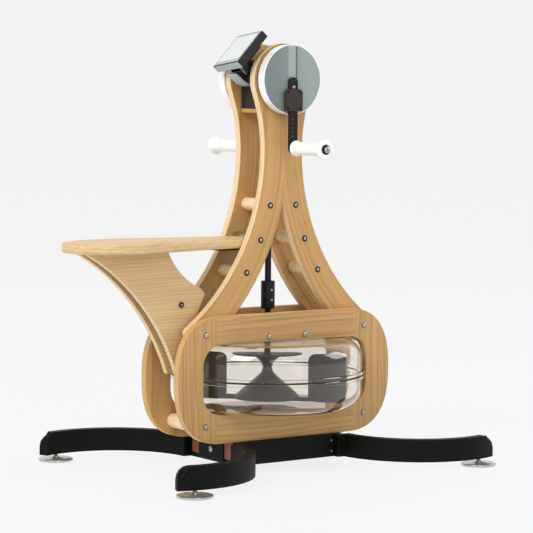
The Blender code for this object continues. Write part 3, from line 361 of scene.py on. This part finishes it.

# %% [markdown]
# ## Metals, plastics and clear pieces
# The discs are turned on a lathe, so their fine scratches run in circles; the soft lamps' reflections are painted
# on them as upright bands. The tank is blown polycarbonate, a little smoky.

# %% Metal, plastic and clear materials
def brushed(name, base, scratch, roughness=0.3, metallic=1.0, centre=None):
    """Metal with fine scratches, along X and Z or in circles round a shaft; round a shaft it also gets painted
    lamp reflections in upright bands, and a painted highlight and painted shade in the arm's slot.
    """
    made, tree, shader = new_material(name)
    point = add(tree, "ShaderNodeTexCoord").outputs["Object"]
    if centre:
        back = (-centre[0], 0.0, -centre[1])
        moved = add(tree, "ShaderNodeVectorMath", {0: point, 1: back}, operation="ADD")
        split = add(tree, "ShaderNodeSeparateXYZ", {0: moved.outputs[0]})
        flat = add(tree, "ShaderNodeCombineXYZ", {0: split.outputs[0], 1: split.outputs[2]}).outputs[0]
        radius = add(tree, "ShaderNodeVectorMath", {0: flat}, operation="LENGTH").outputs["Value"]
        point = add(tree, "ShaderNodeCombineXYZ", {0: calc(tree, "MULTIPLY", radius, scratch)}).outputs[0]
        fine = noise(tree, point, 1.0, 4.0, 0.7)
    else:
        fine = noise(tree, stretched(tree, point, (scratch, scratch * 0.05, scratch)), 1.0, 3.0, 0.6)
    smudge = noise(tree, add(tree, "ShaderNodeTexCoord").outputs["Object"], 14.0, 3.0)
    if centre:
        # painted reflection: the soft lamps are painted on the face as leaning upright bands, darker between them
        lean = calc(tree, "MULTIPLY", split.outputs[2], 3.0)
        off = calc(tree, "MULTIPLY_ADD", split.outputs[0], 24.0, lean)
        reflection_stripe = calc(tree, "MULTIPLY_ADD", calc(tree, "SINE", off), 0.5, 0.5)
        side = calc(tree, "ABSOLUTE", split.outputs[0])
        slot_highlight = calc(tree, "LESS_THAN", side, 0.0150)
        corner = calc(tree, "COMPARE", side, 0.0145, 0.0012)
        reflection_striped = ramp(tree, reflection_stripe, [(0.0, "#84908f"), (1.0, base)])
        face = blend(tree, calc(tree, "MULTIPLY", slot_highlight, 0.45), reflection_striped, colour("#c9d1d0"))
        # a painted highlight on the slot's floor, brighter than the face, between two lines of painted shade at
        # its corners
        corner_shaded = blend(tree, calc(tree, "MULTIPLY", corner, 0.7), face, colour("#6c7675"))
        tree.links.new(corner_shaded, shader.inputs["Base Color"])
    else:
        shader.inputs["Base Color"].default_value = colour(base)
    shader.inputs["Metallic"].default_value = metallic
    touched = calc(tree, "MULTIPLY_ADD", smudge, 0.08, roughness - 0.14)
    tree.links.new(calc(tree, "MULTIPLY_ADD", fine, 0.22, touched), shader.inputs["Roughness"])
    bump = add(tree, "ShaderNodeBump", {"Height": fine, "Strength": 0.25, "Distance": 0.00005})
    tree.links.new(bump.outputs[0], shader.inputs["Normal"])
    return made


def plastic(name, base, roughness, grain_mm=0.4, depth=0.00004, coat=0.0, shine=0.5):
    """A moulded or painted surface with the fine orange peel of its mould or brush."""
    made, tree, shader = new_material(name)
    point = add(tree, "ShaderNodeTexCoord").outputs["Object"]
    peel = noise(tree, point, 1000.0 / grain_mm, 3.0)
    worn = noise(tree, point, 9.0, 4.0)
    shader.inputs["Base Color"].default_value = colour(base)
    tree.links.new(calc(tree, "MULTIPLY_ADD", worn, 0.14, roughness - 0.07), shader.inputs["Roughness"])
    bump = add(tree, "ShaderNodeBump", {"Height": peel, "Strength": 0.4, "Distance": depth})
    tree.links.new(bump.outputs[0], shader.inputs["Normal"])
    shader.inputs["Coat Weight"].default_value = coat
    shader.inputs["Specular IOR Level"].default_value = shine
    return made


def clear(name, tint, ior, roughness, weight=1.0):
    """A clear solid: light bends at its faces, and the tint deepens where the wall is seen edge on."""
    made, tree, shader = new_material(name)
    point = add(tree, "ShaderNodeTexCoord").outputs["Object"]
    swell = noise(tree, point, 7.0, 2.0)
    bump = add(tree, "ShaderNodeBump", {"Height": swell, "Strength": 0.15, "Distance": 0.004})
    tree.links.new(bump.outputs[0], shader.inputs["Normal"])
    shader.inputs["Base Color"].default_value = colour(tint)
    shader.inputs["Transmission Weight"].default_value = weight
    shader.inputs["IOR"].default_value = ior
    shader.inputs["Roughness"].default_value = roughness
    return made


DISC_FACE = brushed("turned steel disc face", "#a3aead", 2600.0, 0.40, 0.55, (DRIVE_X, HUB_Z))
DISC_RIM = brushed("polished disc rim", "#fbfbf9", 900.0, 0.30, 0.25)
ZINC = brushed("zinc plated steel", "#b9bdbd", 1400.0, 0.28)
FOOT_STEEL = brushed("polished foot plate", "#c9c6be", 700.0, 0.26, 0.8)
BLACK_STEEL = brushed("black oxide steel", "#22221f", 1200.0, 0.42, 0.6)
CLAMP_STEEL = brushed("dark bronze plated steel", "#3d362f", 1200.0, 0.46, 0.5)
LACQUER = plastic("black satin lacquer", "#060705", 0.55, 0.9, 0.00006, shine=0.16)
WHITE = plastic("white moulded nylon", "#fbfaf6", 0.38)
BLACK = plastic("black moulded plastic", "#1b1c1d", 0.42)
GREY = plastic("grey moulded plastic", "#a6adb3", 0.38)
PADDLE = plastic("dark grey paddle plastic", "#3a3631", 0.36)
RUBBER = plastic("black rubber", "#151515", 0.7, 0.6)
LCD = plastic("display window", "#d9dcdb", 0.16, 2.0, 0.00001, 0.6)
BEZEL = plastic("display surround", "#a6aeb3", 0.34)
SHELL = clear("smoky polycarbonate", "#f4f0ea", 1.50, 0.012)
print("materials:", len(bpy.data.materials))

# %% [markdown]
# ## Boards
# Real boards have their corners rounded over with a router, so each keeps its CAD outline and gets a small
# round on every edge. The seat, which a rider holds and sits on, is rounded much more.

# %% Uprights, frames, seat and cross boards
for side, sign in SIDES:
    for end, _ in ENDS:
        dress(f"upright_{side}_{end}", ASH_LEG if sign < 0 else ASH_LEG_FAR, 0.0022)
    dress(f"tank_frame_{side}", ASH_FRAME if sign < 0 else ASH_FRAME_FAR, 0.0030)
    dress(f"seat_bracket_{side}", ASH_BRACKET, 0.0022)
dress("seat_board", ASH_SEAT, 0.0095, 5, 50)
dress("gearbox_shelf", ASH_CROSS, 0.0015)
print("boards done")

# %% [markdown]
# ## Cross pieces
# Dowels are turned with a small chamfer at each end. The bolts come later, all from one head.

# %% Dowels, steel bar and tank bridge
def bar(node, radius, half_length, material):
    """A turned bar between the boards, at the place of its CAD node."""
    low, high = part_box(node)
    middle = (low + high) / 2
    edge = 0.002
    end = [(0, half_length), (radius - edge, half_length), (radius - edge * 0.3, half_length - edge * 0.3),
           (radius, half_length - edge)]
    profile = end + [(r, -h) for r, h in reversed(end)]
    piece(node + "_look", lathe(profile, "Y", (middle.x, 0, middle.z)), material, BODY_OF[node], [node])
    return middle


BOLTS = {"upright": [], "frame": []}
for end, _ in ENDS:
    for level in ("upper", "middle", "lower"):
        node = f"{level}_dowel_{end}"
        if node not in frame["nodes"]:
            middle = bar("seat_bar", 0.018, 0.0467, ZINC)
        else:
            middle = bar(node, 0.018, 0.0467, ASH_DOWEL)
        BOLTS["upright"].append((middle.x, middle.z))
    middle = bar(f"corner_dowel_{end}", 0.018, 0.0467, ASH_DOWEL)
    BOLTS["frame"].append((middle.x, middle.z))
    middle = bar(f"frame_dowel_{end}", 0.020, 0.0698, ASH_DOWEL)
    BOLTS["frame"].append((middle.x, middle.z))
low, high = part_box("tank_bridge")
bridge = block((low.x, -0.070, low.z), (high.x, 0.070, high.z))
piece("tank_bridge_look", rounded(bridge, 0.002), ASH_CROSS, "stand", ["tank_bridge"])
for offset in (-0.0606, 0.0606):
    BOLTS["frame"].append((DRIVE_X + offset, (low.z + high.z) / 2))
print({kind: len(points) for kind, points in BOLTS.items()})

# %% [markdown]
# ## Bolts from one head
# Every bolt is the same flanged head with a hexagon socket. A geometry node group copies it to a list of
# points and turns it to face out, so moving a bolt is a matter of moving a point.

# %% Bolt heads by geometry nodes
def socket_head(radius):
    """A flanged head with a hexagon socket, its seat at the origin and its face towards +Y."""
    top = radius * 0.36
    profile = [(0, top), (radius * 0.62, top), (radius * 0.72, top * 0.8), (radius, top * 0.45), (radius, 0),
               (0, 0)]
    head = lathe(profile, "Y", steps=32)
    work = bmesh.new()
    upright = Matrix.Translation((0, top, 0)) @ Matrix.Rotation(math.pi / 2, 4, "X")
    bmesh.ops.create_cone(work, cap_ends=True, segments=6, radius1=radius * 0.40, radius2=radius * 0.40,
                          depth=top * 1.3, matrix=upright)
    hexagon = bpy.data.meshes.new("hexagon")
    work.to_mesh(hexagon)
    work.free()
    cutter = bpy.data.objects.new("cutter", hexagon)
    bpy.context.scene.collection.objects.link(cutter)
    return weighted(head, [cutter])


def scatter_group(name):
    """Geometry nodes: a copy of the Head object at every point, turned, made real and given its material."""
    tree = bpy.data.node_groups.new(name, "GeometryNodeTree")
    tree.interface.new_socket("Points", in_out="INPUT", socket_type="NodeSocketGeometry")
    tree.interface.new_socket("Head", in_out="INPUT", socket_type="NodeSocketObject")
    tree.interface.new_socket("Turn", in_out="INPUT", socket_type="NodeSocketVector")
    tree.interface.new_socket("Material", in_out="INPUT", socket_type="NodeSocketMaterial")
    tree.interface.new_socket("Geometry", in_out="OUTPUT", socket_type="NodeSocketGeometry")
    source = add(tree, "NodeGroupInput")
    head = add(tree, "GeometryNodeObjectInfo", {"Object": source.outputs["Head"]})
    copies = add(tree, "GeometryNodeInstanceOnPoints", {
        "Points": source.outputs["Points"], "Instance": head.outputs["Geometry"],
        "Rotation": source.outputs["Turn"]})
    real = add(tree, "GeometryNodeRealizeInstances", {"Geometry": copies.outputs[0]})
    painted = add(tree, "GeometryNodeSetMaterial", {
        "Geometry": real.outputs[0], "Material": source.outputs["Material"]})
    add(tree, "NodeGroupOutput", {"Geometry": painted.outputs[0]})
    return tree


SCATTER = scatter_group("copies at points")


def scatter(name, head, points, turn, material, body):
    """Run the group on a list of points, and keep the result as a plain mesh."""
    carrier = bpy.data.meshes.new("points")
    carrier.from_pydata([tuple(point) for point in points], [], [])
    holder = bpy.data.objects.new("points", carrier)
    head_object = bpy.data.objects.new("head", head)
    for used in (holder, head_object):
        bpy.context.scene.collection.objects.link(used)
    step = holder.modifiers.new("copies", "NODES")
    step.node_group = SCATTER
    values = {"Head": head_object, "Turn": turn, "Material": material}
    for item in SCATTER.interface.items_tree:
        if item.name in values and item.in_out == "INPUT":
            step[item.identifier] = values[item.name]
    graph = bpy.context.evaluated_depsgraph_get()
    graph.update()
    made = bpy.data.meshes.new_from_object(holder.evaluated_get(graph))
    for used in (holder, head_object):
        bpy.data.objects.remove(used)
    return piece(name, made, material, body)


for side, sign in SIDES:
    turn = facing_out(sign)
    for kind, face in (("upright", UPRIGHT_FACE_Y), ("frame", FRAME_FACE_Y)):
        points = [(x, sign * (face + 0.0003), z) for x, z in BOLTS[kind]]
        flange, head = (0.0088, 0.0040) if kind == "upright" else (0.0080, 0.0064)
        bevel = WASHER_T / 2
        profile = [(0, WASHER_T), (flange - bevel, WASHER_T), (flange, bevel), (flange, 0), (0, 0)]
        washer = lathe(profile, "Y", steps=32)
        scatter(f"{kind}_washers_{side}", washer, points, turn, RUBBER, "stand")
        raised = [(x, y + sign * WASHER_T, z) for x, y, z in points]
        scatter(f"{kind}_bolts_{side}", socket_head(head), raised, turn, ZINC, "stand")
    rail_points = [(DRIVE_X + x, sign * 0.110, z) for x in (-0.146, 0.146) for z in (0.036, 0.066)]
    scatter(f"rail_screws_{side}", socket_head(0.0026), rail_points, turn, ZINC, "stand")
    low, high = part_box("seat_spacer")
    seat_point = [((low.x + high.x) / 2, sign * (high.y + 0.0002), (low.z + high.z) / 2)]
    scatter(f"seat_washer_{side}", socket_head(0.0080), seat_point, turn, RUBBER, "stand")
    seat_point = [(x, y + sign * 0.0012, z) for x, y, z in seat_point]
    scatter(f"seat_bolt_{side}", socket_head(0.0042), seat_point, turn, ZINC, "stand")
print("bolts copied:", 2 * sum(len(points) for points in BOLTS.values()))

# %% [markdown]
# ## Tank and paddle
# The tank is two shells clamped at a flange with a dark seal between. Both shells are closed solids with a
# 4 mm wall, so the glassy look comes from real refraction. The paddle inside has two upright blades.

# %% Tank
def shoulder(up, radius, centre_r, centre_z, steps=14):
    """Points round a shell's shoulder, from its wall to its flat."""
    points = []
    for step in range(steps + 1):
        angle = math.pi / 2 * step / steps
        points.append((centre_r + radius * math.cos(angle), centre_z + up * radius * math.sin(angle)))
    return points


def shell(up, seam, flat, hole):
    """One half of the tank."""
    outer_r, wall, bend = 0.266, 0.004, 0.050
    centre = flat - up * bend
    rim = seam + up * 0.0085
    outer = [(0.272, seam), (0.273, seam + up * 0.001), (0.273, rim - up * 0.001), (0.272, rim)]
    outer += [(outer_r, rim)]
    outer += shoulder(up, bend, outer_r - bend, centre)
    inner = list(reversed(shoulder(up, bend - wall, outer_r - bend, centre))) + [(outer_r - wall, seam)]
    if hole:
        return lathe(outer + [(hole, flat), (hole, flat - up * wall)] + inner, steps=160, closed=True,
                     at=(DRIVE_X, 0, 0))
    profile = [(0, flat)] + list(reversed(outer)) + list(reversed(inner)) + [(0, flat - up * wall)]
    return lathe(profile, steps=160, at=(DRIVE_X, 0, 0))


piece("tank_upper_look", shell(1, 0.2588, TANK_TOP_Z, 0.030), SHELL, "stand", ["tank_upper_shell"])
piece("tank_lower_look", shell(-1, 0.2552, TANK_BOTTOM_Z, 0), SHELL, "stand", ["tank_lower_shell"])
seal = [(0.262, 0.2555), (0.2715, 0.2555), (0.2715, 0.2585), (0.262, 0.2585)]
seal_mesh = lathe(seal, steps=160, closed=True, at=(DRIVE_X, 0, 0))
piece("tank_seal_look", seal_mesh, RUBBER, "stand", ["tank_seal"])
dress("filler_plug", BLACK, 0.0006, 2)
dress("paddle", PADDLE, 0.0009, 2, 40)
print("tank done")

# %% [markdown]
# ## Cranks
# Each disc is turned steel with a milled slot across its face for the arm. The arm is a drilled bar that
# slides in the slot, held by a clamp plate. The rim is polished brighter than the face.

# %% Discs, arms and grips
def slot_cutter(low, high):
    """The block that mills the arm's slot."""
    mesh = block((DRIVE_X - 0.0155, low, HUB_Z - 0.1), (DRIVE_X + 0.0155, high, HUB_Z + 0.1))
    made = bpy.data.objects.new("slot", mesh)
    bpy.context.scene.collection.objects.link(made)
    return made


def disc(side, sign):
    """A disc face with the arm's slot, and the bright rim round it."""
    hub = (DRIVE_X, 0, HUB_Z)
    face = [(0, 0.110), (0.0935, 0.110), (0.0935, 0.1040), (0, 0.1040)]
    face_mesh = lathe([(r, sign * h) for r, h in face], "Y", hub, 128)
    rim = [(0.0937, 0.1095), (0.0945, 0.1100), (0.0955, 0.1095), (0.0960, 0.1085), (0.0960, 0.0835),
           (0.0952, 0.0822), (0.0940, 0.0820), (0.0120, 0.0820), (0.0120, 0.1030), (0.0937, 0.1030)]
    rim_mesh = lathe([(r, sign * h) for r, h in rim], "Y", hub, 128, True)
    low, high = side_span(sign, 0.1072, 0.113)
    piece(f"disc_face_{side}", weighted(face_mesh, [slot_cutter(low, high)]), DISC_FACE, "crank",
          [f"crank_disc_{side}"])
    piece(f"disc_rim_{side}", weighted(rim_mesh, [slot_cutter(low, high)]), DISC_RIM, "crank")


def grip(side, sign):
    """A white roller with a flange at each end, its black washer and its end bolt."""
    at = (DRIVE_X, 0, GRIP_Z)
    outline = [(0.0075, 0.1285), (0.0205, 0.1285), (0.0215, 0.1295), (0.0215, 0.1330), (0.0205, 0.1350),
               (0.0190, 0.1375), (0.0180, 0.1420), (0.0180, 0.2480), (0.0190, 0.2520), (0.0225, 0.2560),
               (0.0262, 0.2580), (0.0275, 0.2600), (0.0275, 0.2635), (0.0262, 0.2655), (0.0240, 0.2660),
               (0.0145, 0.2660), (0.0140, 0.2645), (0.0075, 0.2645)]
    mesh = lathe([(r, sign * h) for r, h in outline], "Y", at, 96, True, 50)
    piece(f"grip_look_{side}", mesh, WHITE, f"grip_{side}_body", [f"grip_{side}"])
    washer = [(0.0072, 0.2650), (0.0132, 0.2650), (0.0132, 0.2662), (0.0125, 0.2668), (0.0072, 0.2668)]
    mesh = lathe([(r, sign * h) for r, h in washer], "Y", at, 64, True)
    piece(f"grip_washer_{side}", mesh, RUBBER, f"arm_{side}")
    bolt = [(DRIVE_X, sign * 0.2708, GRIP_Z)]
    scatter(f"grip_bolt_{side}", socket_head(0.0085), bolt, facing_out(sign), ZINC, f"arm_{side}")


for side, sign in SIDES:
    disc(side, sign)
    grip(side, sign)
    dress(f"crank_arm_{side}", BLACK_STEEL, 0.0006, 2, 60)
    dress(f"arm_clamp_{side}", CLAMP_STEEL, 0.0006, 2)
    turn = facing_out(sign)
    heads = [(DRIVE_X + x, sign * 0.1222, HUB_Z - z) for x in (-0.0195, 0.0195) for z in (0.033, 0.079)]
    scatter(f"clamp_screws_{side}", socket_head(0.0037), heads, turn, BLACK_STEEL, "crank")
    pin = [(DRIVE_X, sign * 0.1165, HUB_Z - 0.0205)]
    scatter(f"clamp_pin_{side}", socket_head(0.0045), pin, turn, ZINC, f"arm_{side}")
print("cranks done")

# %% [markdown]
# ## Drive, gearbox and seat fittings

# %% Drive, gearbox and fittings
# steel turned or stamped, black where it is oxidised
for node, material, width in (
        ("crank_shaft", ZINC, 0.0008), ("crank_gear", BLACK_STEEL, 0.0), ("drive_pinion", BLACK_STEEL, 0.0),
        ("drive_shaft", BLACK_STEEL, 0.0008), ("shaft_coupling", BLACK_STEEL, 0.0014),
        ("crank_bearing_right", ZINC, 0.0006), ("crank_bearing_left", ZINC, 0.0006),
        ("shelf_bush", ZINC, 0.0005), ("bridge_bush", ZINC, 0.0005), ("gearbox_cover", BLACK, 0.0012),
        ("seat_spacer", ZINC, 0.0006), ("seat_hook", BLACK_STEEL, 0.0010),
        ("base_rail_right", LACQUER, 0.0014), ("base_rail_left", LACQUER, 0.0014)):
    dress(node, material, width, 2)
screws = [(DRIVE_X, -0.0193, z) for z in (0.462, 0.490)]
scatter("coupling_screws", socket_head(0.0032), screws, (0.0, 0.0, math.pi), ZINC, "drive")
print("drive done")

# %% [markdown]
# ## Base
# The bows are bent from laminated wood and lacquered black. Red-brown cleats under the frame ends carry its
# weight, on each side of a black clamp with one bolt. The feet are polished plates on threaded studs.

# %% Base and feet
for end, sign in ENDS:
    dress(f"base_bow_{end}", LACQUER, 0.0016, 3, 35, split=True)
    low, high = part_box(f"base_clamp_{end}")
    middle = block((low.x, -0.0605, low.z), (high.x, 0.0605, high.z - 0.004))
    piece(f"base_clamp_look_{end}", rounded(middle, 0.0015), LACQUER, "stand", [f"base_clamp_{end}"])
    inner, outer = (high.x - 0.0067, high.x) if sign < 0 else (low.x, low.x + 0.0067)
    cleats = [rounded(block((inner, near, high.z - 0.048), (outer, far, high.z)), 0.002)
              for near, far in (side_span(-1, 0.0612, 0.098), side_span(1, 0.0612, 0.098))]
    piece(f"cleats_{end}", joined(cleats), CLEAT_WOOD, "stand")
    face_x = low.x if sign < 0 else high.x
    turn = (0.0, 0.0, math.pi / 2 if sign < 0 else -math.pi / 2)
    scatter(f"clamp_bolt_{end}", socket_head(0.0085), [(face_x, 0.0, 0.056)], turn, ZINC, "stand")


def foot(node):
    """A thin polished plate with a domed middle and a threaded stud."""
    low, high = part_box(node)
    at = ((low.x + high.x) / 2, (low.y + high.y) / 2, 0)
    profile = [(0, 0), (0.0470, 0), (0.0485, 0.0008), (0.0490, 0.0025), (0.0490, 0.0050), (0.0484, 0.0066),
               (0.0470, 0.0073), (0.0300, 0.0079), (0.0125, 0.0088), (0.0105, 0.0102), (0.0100, 0.0118)]
    height = 0.0118
    while height < 0.0485:
        profile += [(0.0060, height + 0.0003), (0.0052, height + 0.0008)]
        height += 0.0011
    profile += [(0.0055, 0.0495), (0, 0.0500)]
    piece(node + "_look", lathe(profile, at=at, steps=96), FOOT_STEEL, BODY_OF[node], [node])


for side, _ in SIDES:
    for end, _ in ENDS:
        foot(f"foot_{side}_{end}")
print("base done")

# %% [markdown]
# ## Monitor
# A black case carries a pale window with a darker surround. The case turns on its knuckle, so the window is
# made in the case's own axes, given as angles, and placed at the middle of the CAD window.

# %% Monitor
dress("monitor_arm", GREY, 0.0015)
dress("monitor_knuckle", BLACK, 0.0008, 2)
window = frame["nodes"]["monitor_screen"].data
centre = sum((v.co for v in window.vertices), Vector()) / len(window.vertices)
TURN = Matrix.Rotation(math.radians(-8.7), 3, Vector((0.6, 0.0, 0.8)))
OUT = TURN @ Vector((-math.cos(math.radians(43)), 0, math.sin(math.radians(43))))
UP = TURN @ Vector((math.sin(math.radians(43)), 0, math.cos(math.radians(43))))
ACROSS = UP.cross(OUT)
FACE = Matrix((ACROSS, UP, OUT)).transposed().to_4x4()


case = dress("monitor_housing", BLACK, 0.0022)
case.data.materials.append(GREY)
for facet in case.data.polygons:
    if facet.normal.dot(UP) < -0.8:
        facet.material_index = 1


def on_face(low, high, width):
    """A rounded plate on the monitor's face, from corners given across, up and out of its middle."""
    mesh = rounded(block(low, high), width, 2)
    mesh.transform(Matrix.Translation(centre) @ FACE)
    return mesh


surround = on_face((-0.0700, -0.0550, -0.0006), (0.0700, 0.0550, 0.0006), 0.0004)
piece("monitor_surround", surround, BEZEL, "monitor", ["monitor_screen"])
piece("monitor_window", on_face((-0.0615, -0.0440, 0.0003), (0.0615, 0.0500, 0.0010), 0.0003), LCD, "monitor")
print("monitor done")

# %% [markdown]
# ## Stage, light and camera
# A seamless pale backdrop, one large soft lamp over the rider's shoulder and two weaker ones, from the front and
# from the right, as for a catalogue picture. The lens is long, so upright lines stay nearly parallel.

# %% Stage
def backdrop():
    """A floor that curves up into a wall well behind the machine."""
    reach, bend, top = 5.0, 2.5, 9.0
    profile = [(-14.0, 0.0), (reach, 0.0)]
    for step in range(1, 25):
        angle = math.pi / 2 * step / 24
        profile.append((reach + bend * math.sin(angle), bend * (1 - math.cos(angle))))
    profile.append((reach + bend, top))
    mesh = bpy.data.meshes.new("backdrop")
    points = [(x, y, z) for y, z in profile for x in (-16.0, 16.0)]
    faces = [(2 * i, 2 * i + 1, 2 * i + 3, 2 * i + 2) for i in range(len(profile) - 1)]
    mesh.from_pydata(points, [], faces)
    mesh.transform(Matrix.Rotation(math.radians(-35.24), 4, "Z"))
    mesh.shade_smooth()
    made = bpy.data.objects.new("backdrop", mesh)
    bpy.context.scene.collection.objects.link(made)
    paper, tree, shader = new_material("seamless paper")
    shader.inputs["Base Color"].default_value = colour("#484848")
    shader.inputs["Roughness"].default_value = 0.9
    shader.inputs["Emission Color"].default_value = colour("#f2f2f2")
    shader.inputs["Emission Strength"].default_value = 0.93
    mesh.materials.append(paper)


def lamp(name, place, aim, size, power, tint="#ffffff"):
    """A square soft lamp that points at a spot."""
    data = bpy.data.lights.new(name, "AREA")
    data.size = size
    data.energy = power
    data.color = colour(tint)[:3]
    made = bpy.data.objects.new(name, data)
    made.location = place
    made.rotation_euler = (Vector(aim) - Vector(place)).to_track_quat("-Z", "Y").to_euler()
    bpy.context.scene.collection.objects.link(made)
    return made


backdrop()
lamp("key", (-4.3, -1.5, 4.3), (0, 0, 0.6), 2.4, 200)
lamp("fill", (-1.5, -5.0, 3.0), (0, 0, 0.6), 2.6, 45)
lamp("side", (3.6, -1.5, 2.4), (0, 0, 0.6), 2.0, 45)
world = bpy.data.worlds.new("studio")
world.use_nodes = True
world.node_tree.nodes["Background"].inputs["Color"].default_value = colour("#f6f7f8")
world.node_tree.nodes["Background"].inputs["Strength"].default_value = 0.55
bpy.context.scene.world = world
bpy.context.scene.view_settings.view_transform = "Standard"

# %% Camera
camera = bpy.data.objects.new("camera", bpy.data.cameras.new("camera"))
bpy.context.scene.collection.objects.link(camera)
bpy.context.scene.camera = camera
AZIMUTH, PITCH, ROLL = math.radians(35.24), math.radians(4.45), math.radians(0.416)
ahead = Vector((math.sin(AZIMUTH) * math.cos(PITCH), math.cos(AZIMUTH) * math.cos(PITCH), -math.sin(PITCH)))
right = Vector((math.cos(AZIMUTH), -math.sin(AZIMUTH), 0))
above = right.cross(ahead)
target = Vector((0.0535, 0, 0.5547)) - right * 0.0039
turn = Matrix((right, above, -ahead)).transposed().to_4x4() @ Matrix.Rotation(ROLL, 4, "Z")
camera.matrix_world = Matrix.Translation(target - ahead * 6.594) @ turn
camera.data.lens = 159.06
camera.data.clip_end = 60
print("camera at", [round(v, 2) for v in camera.location])
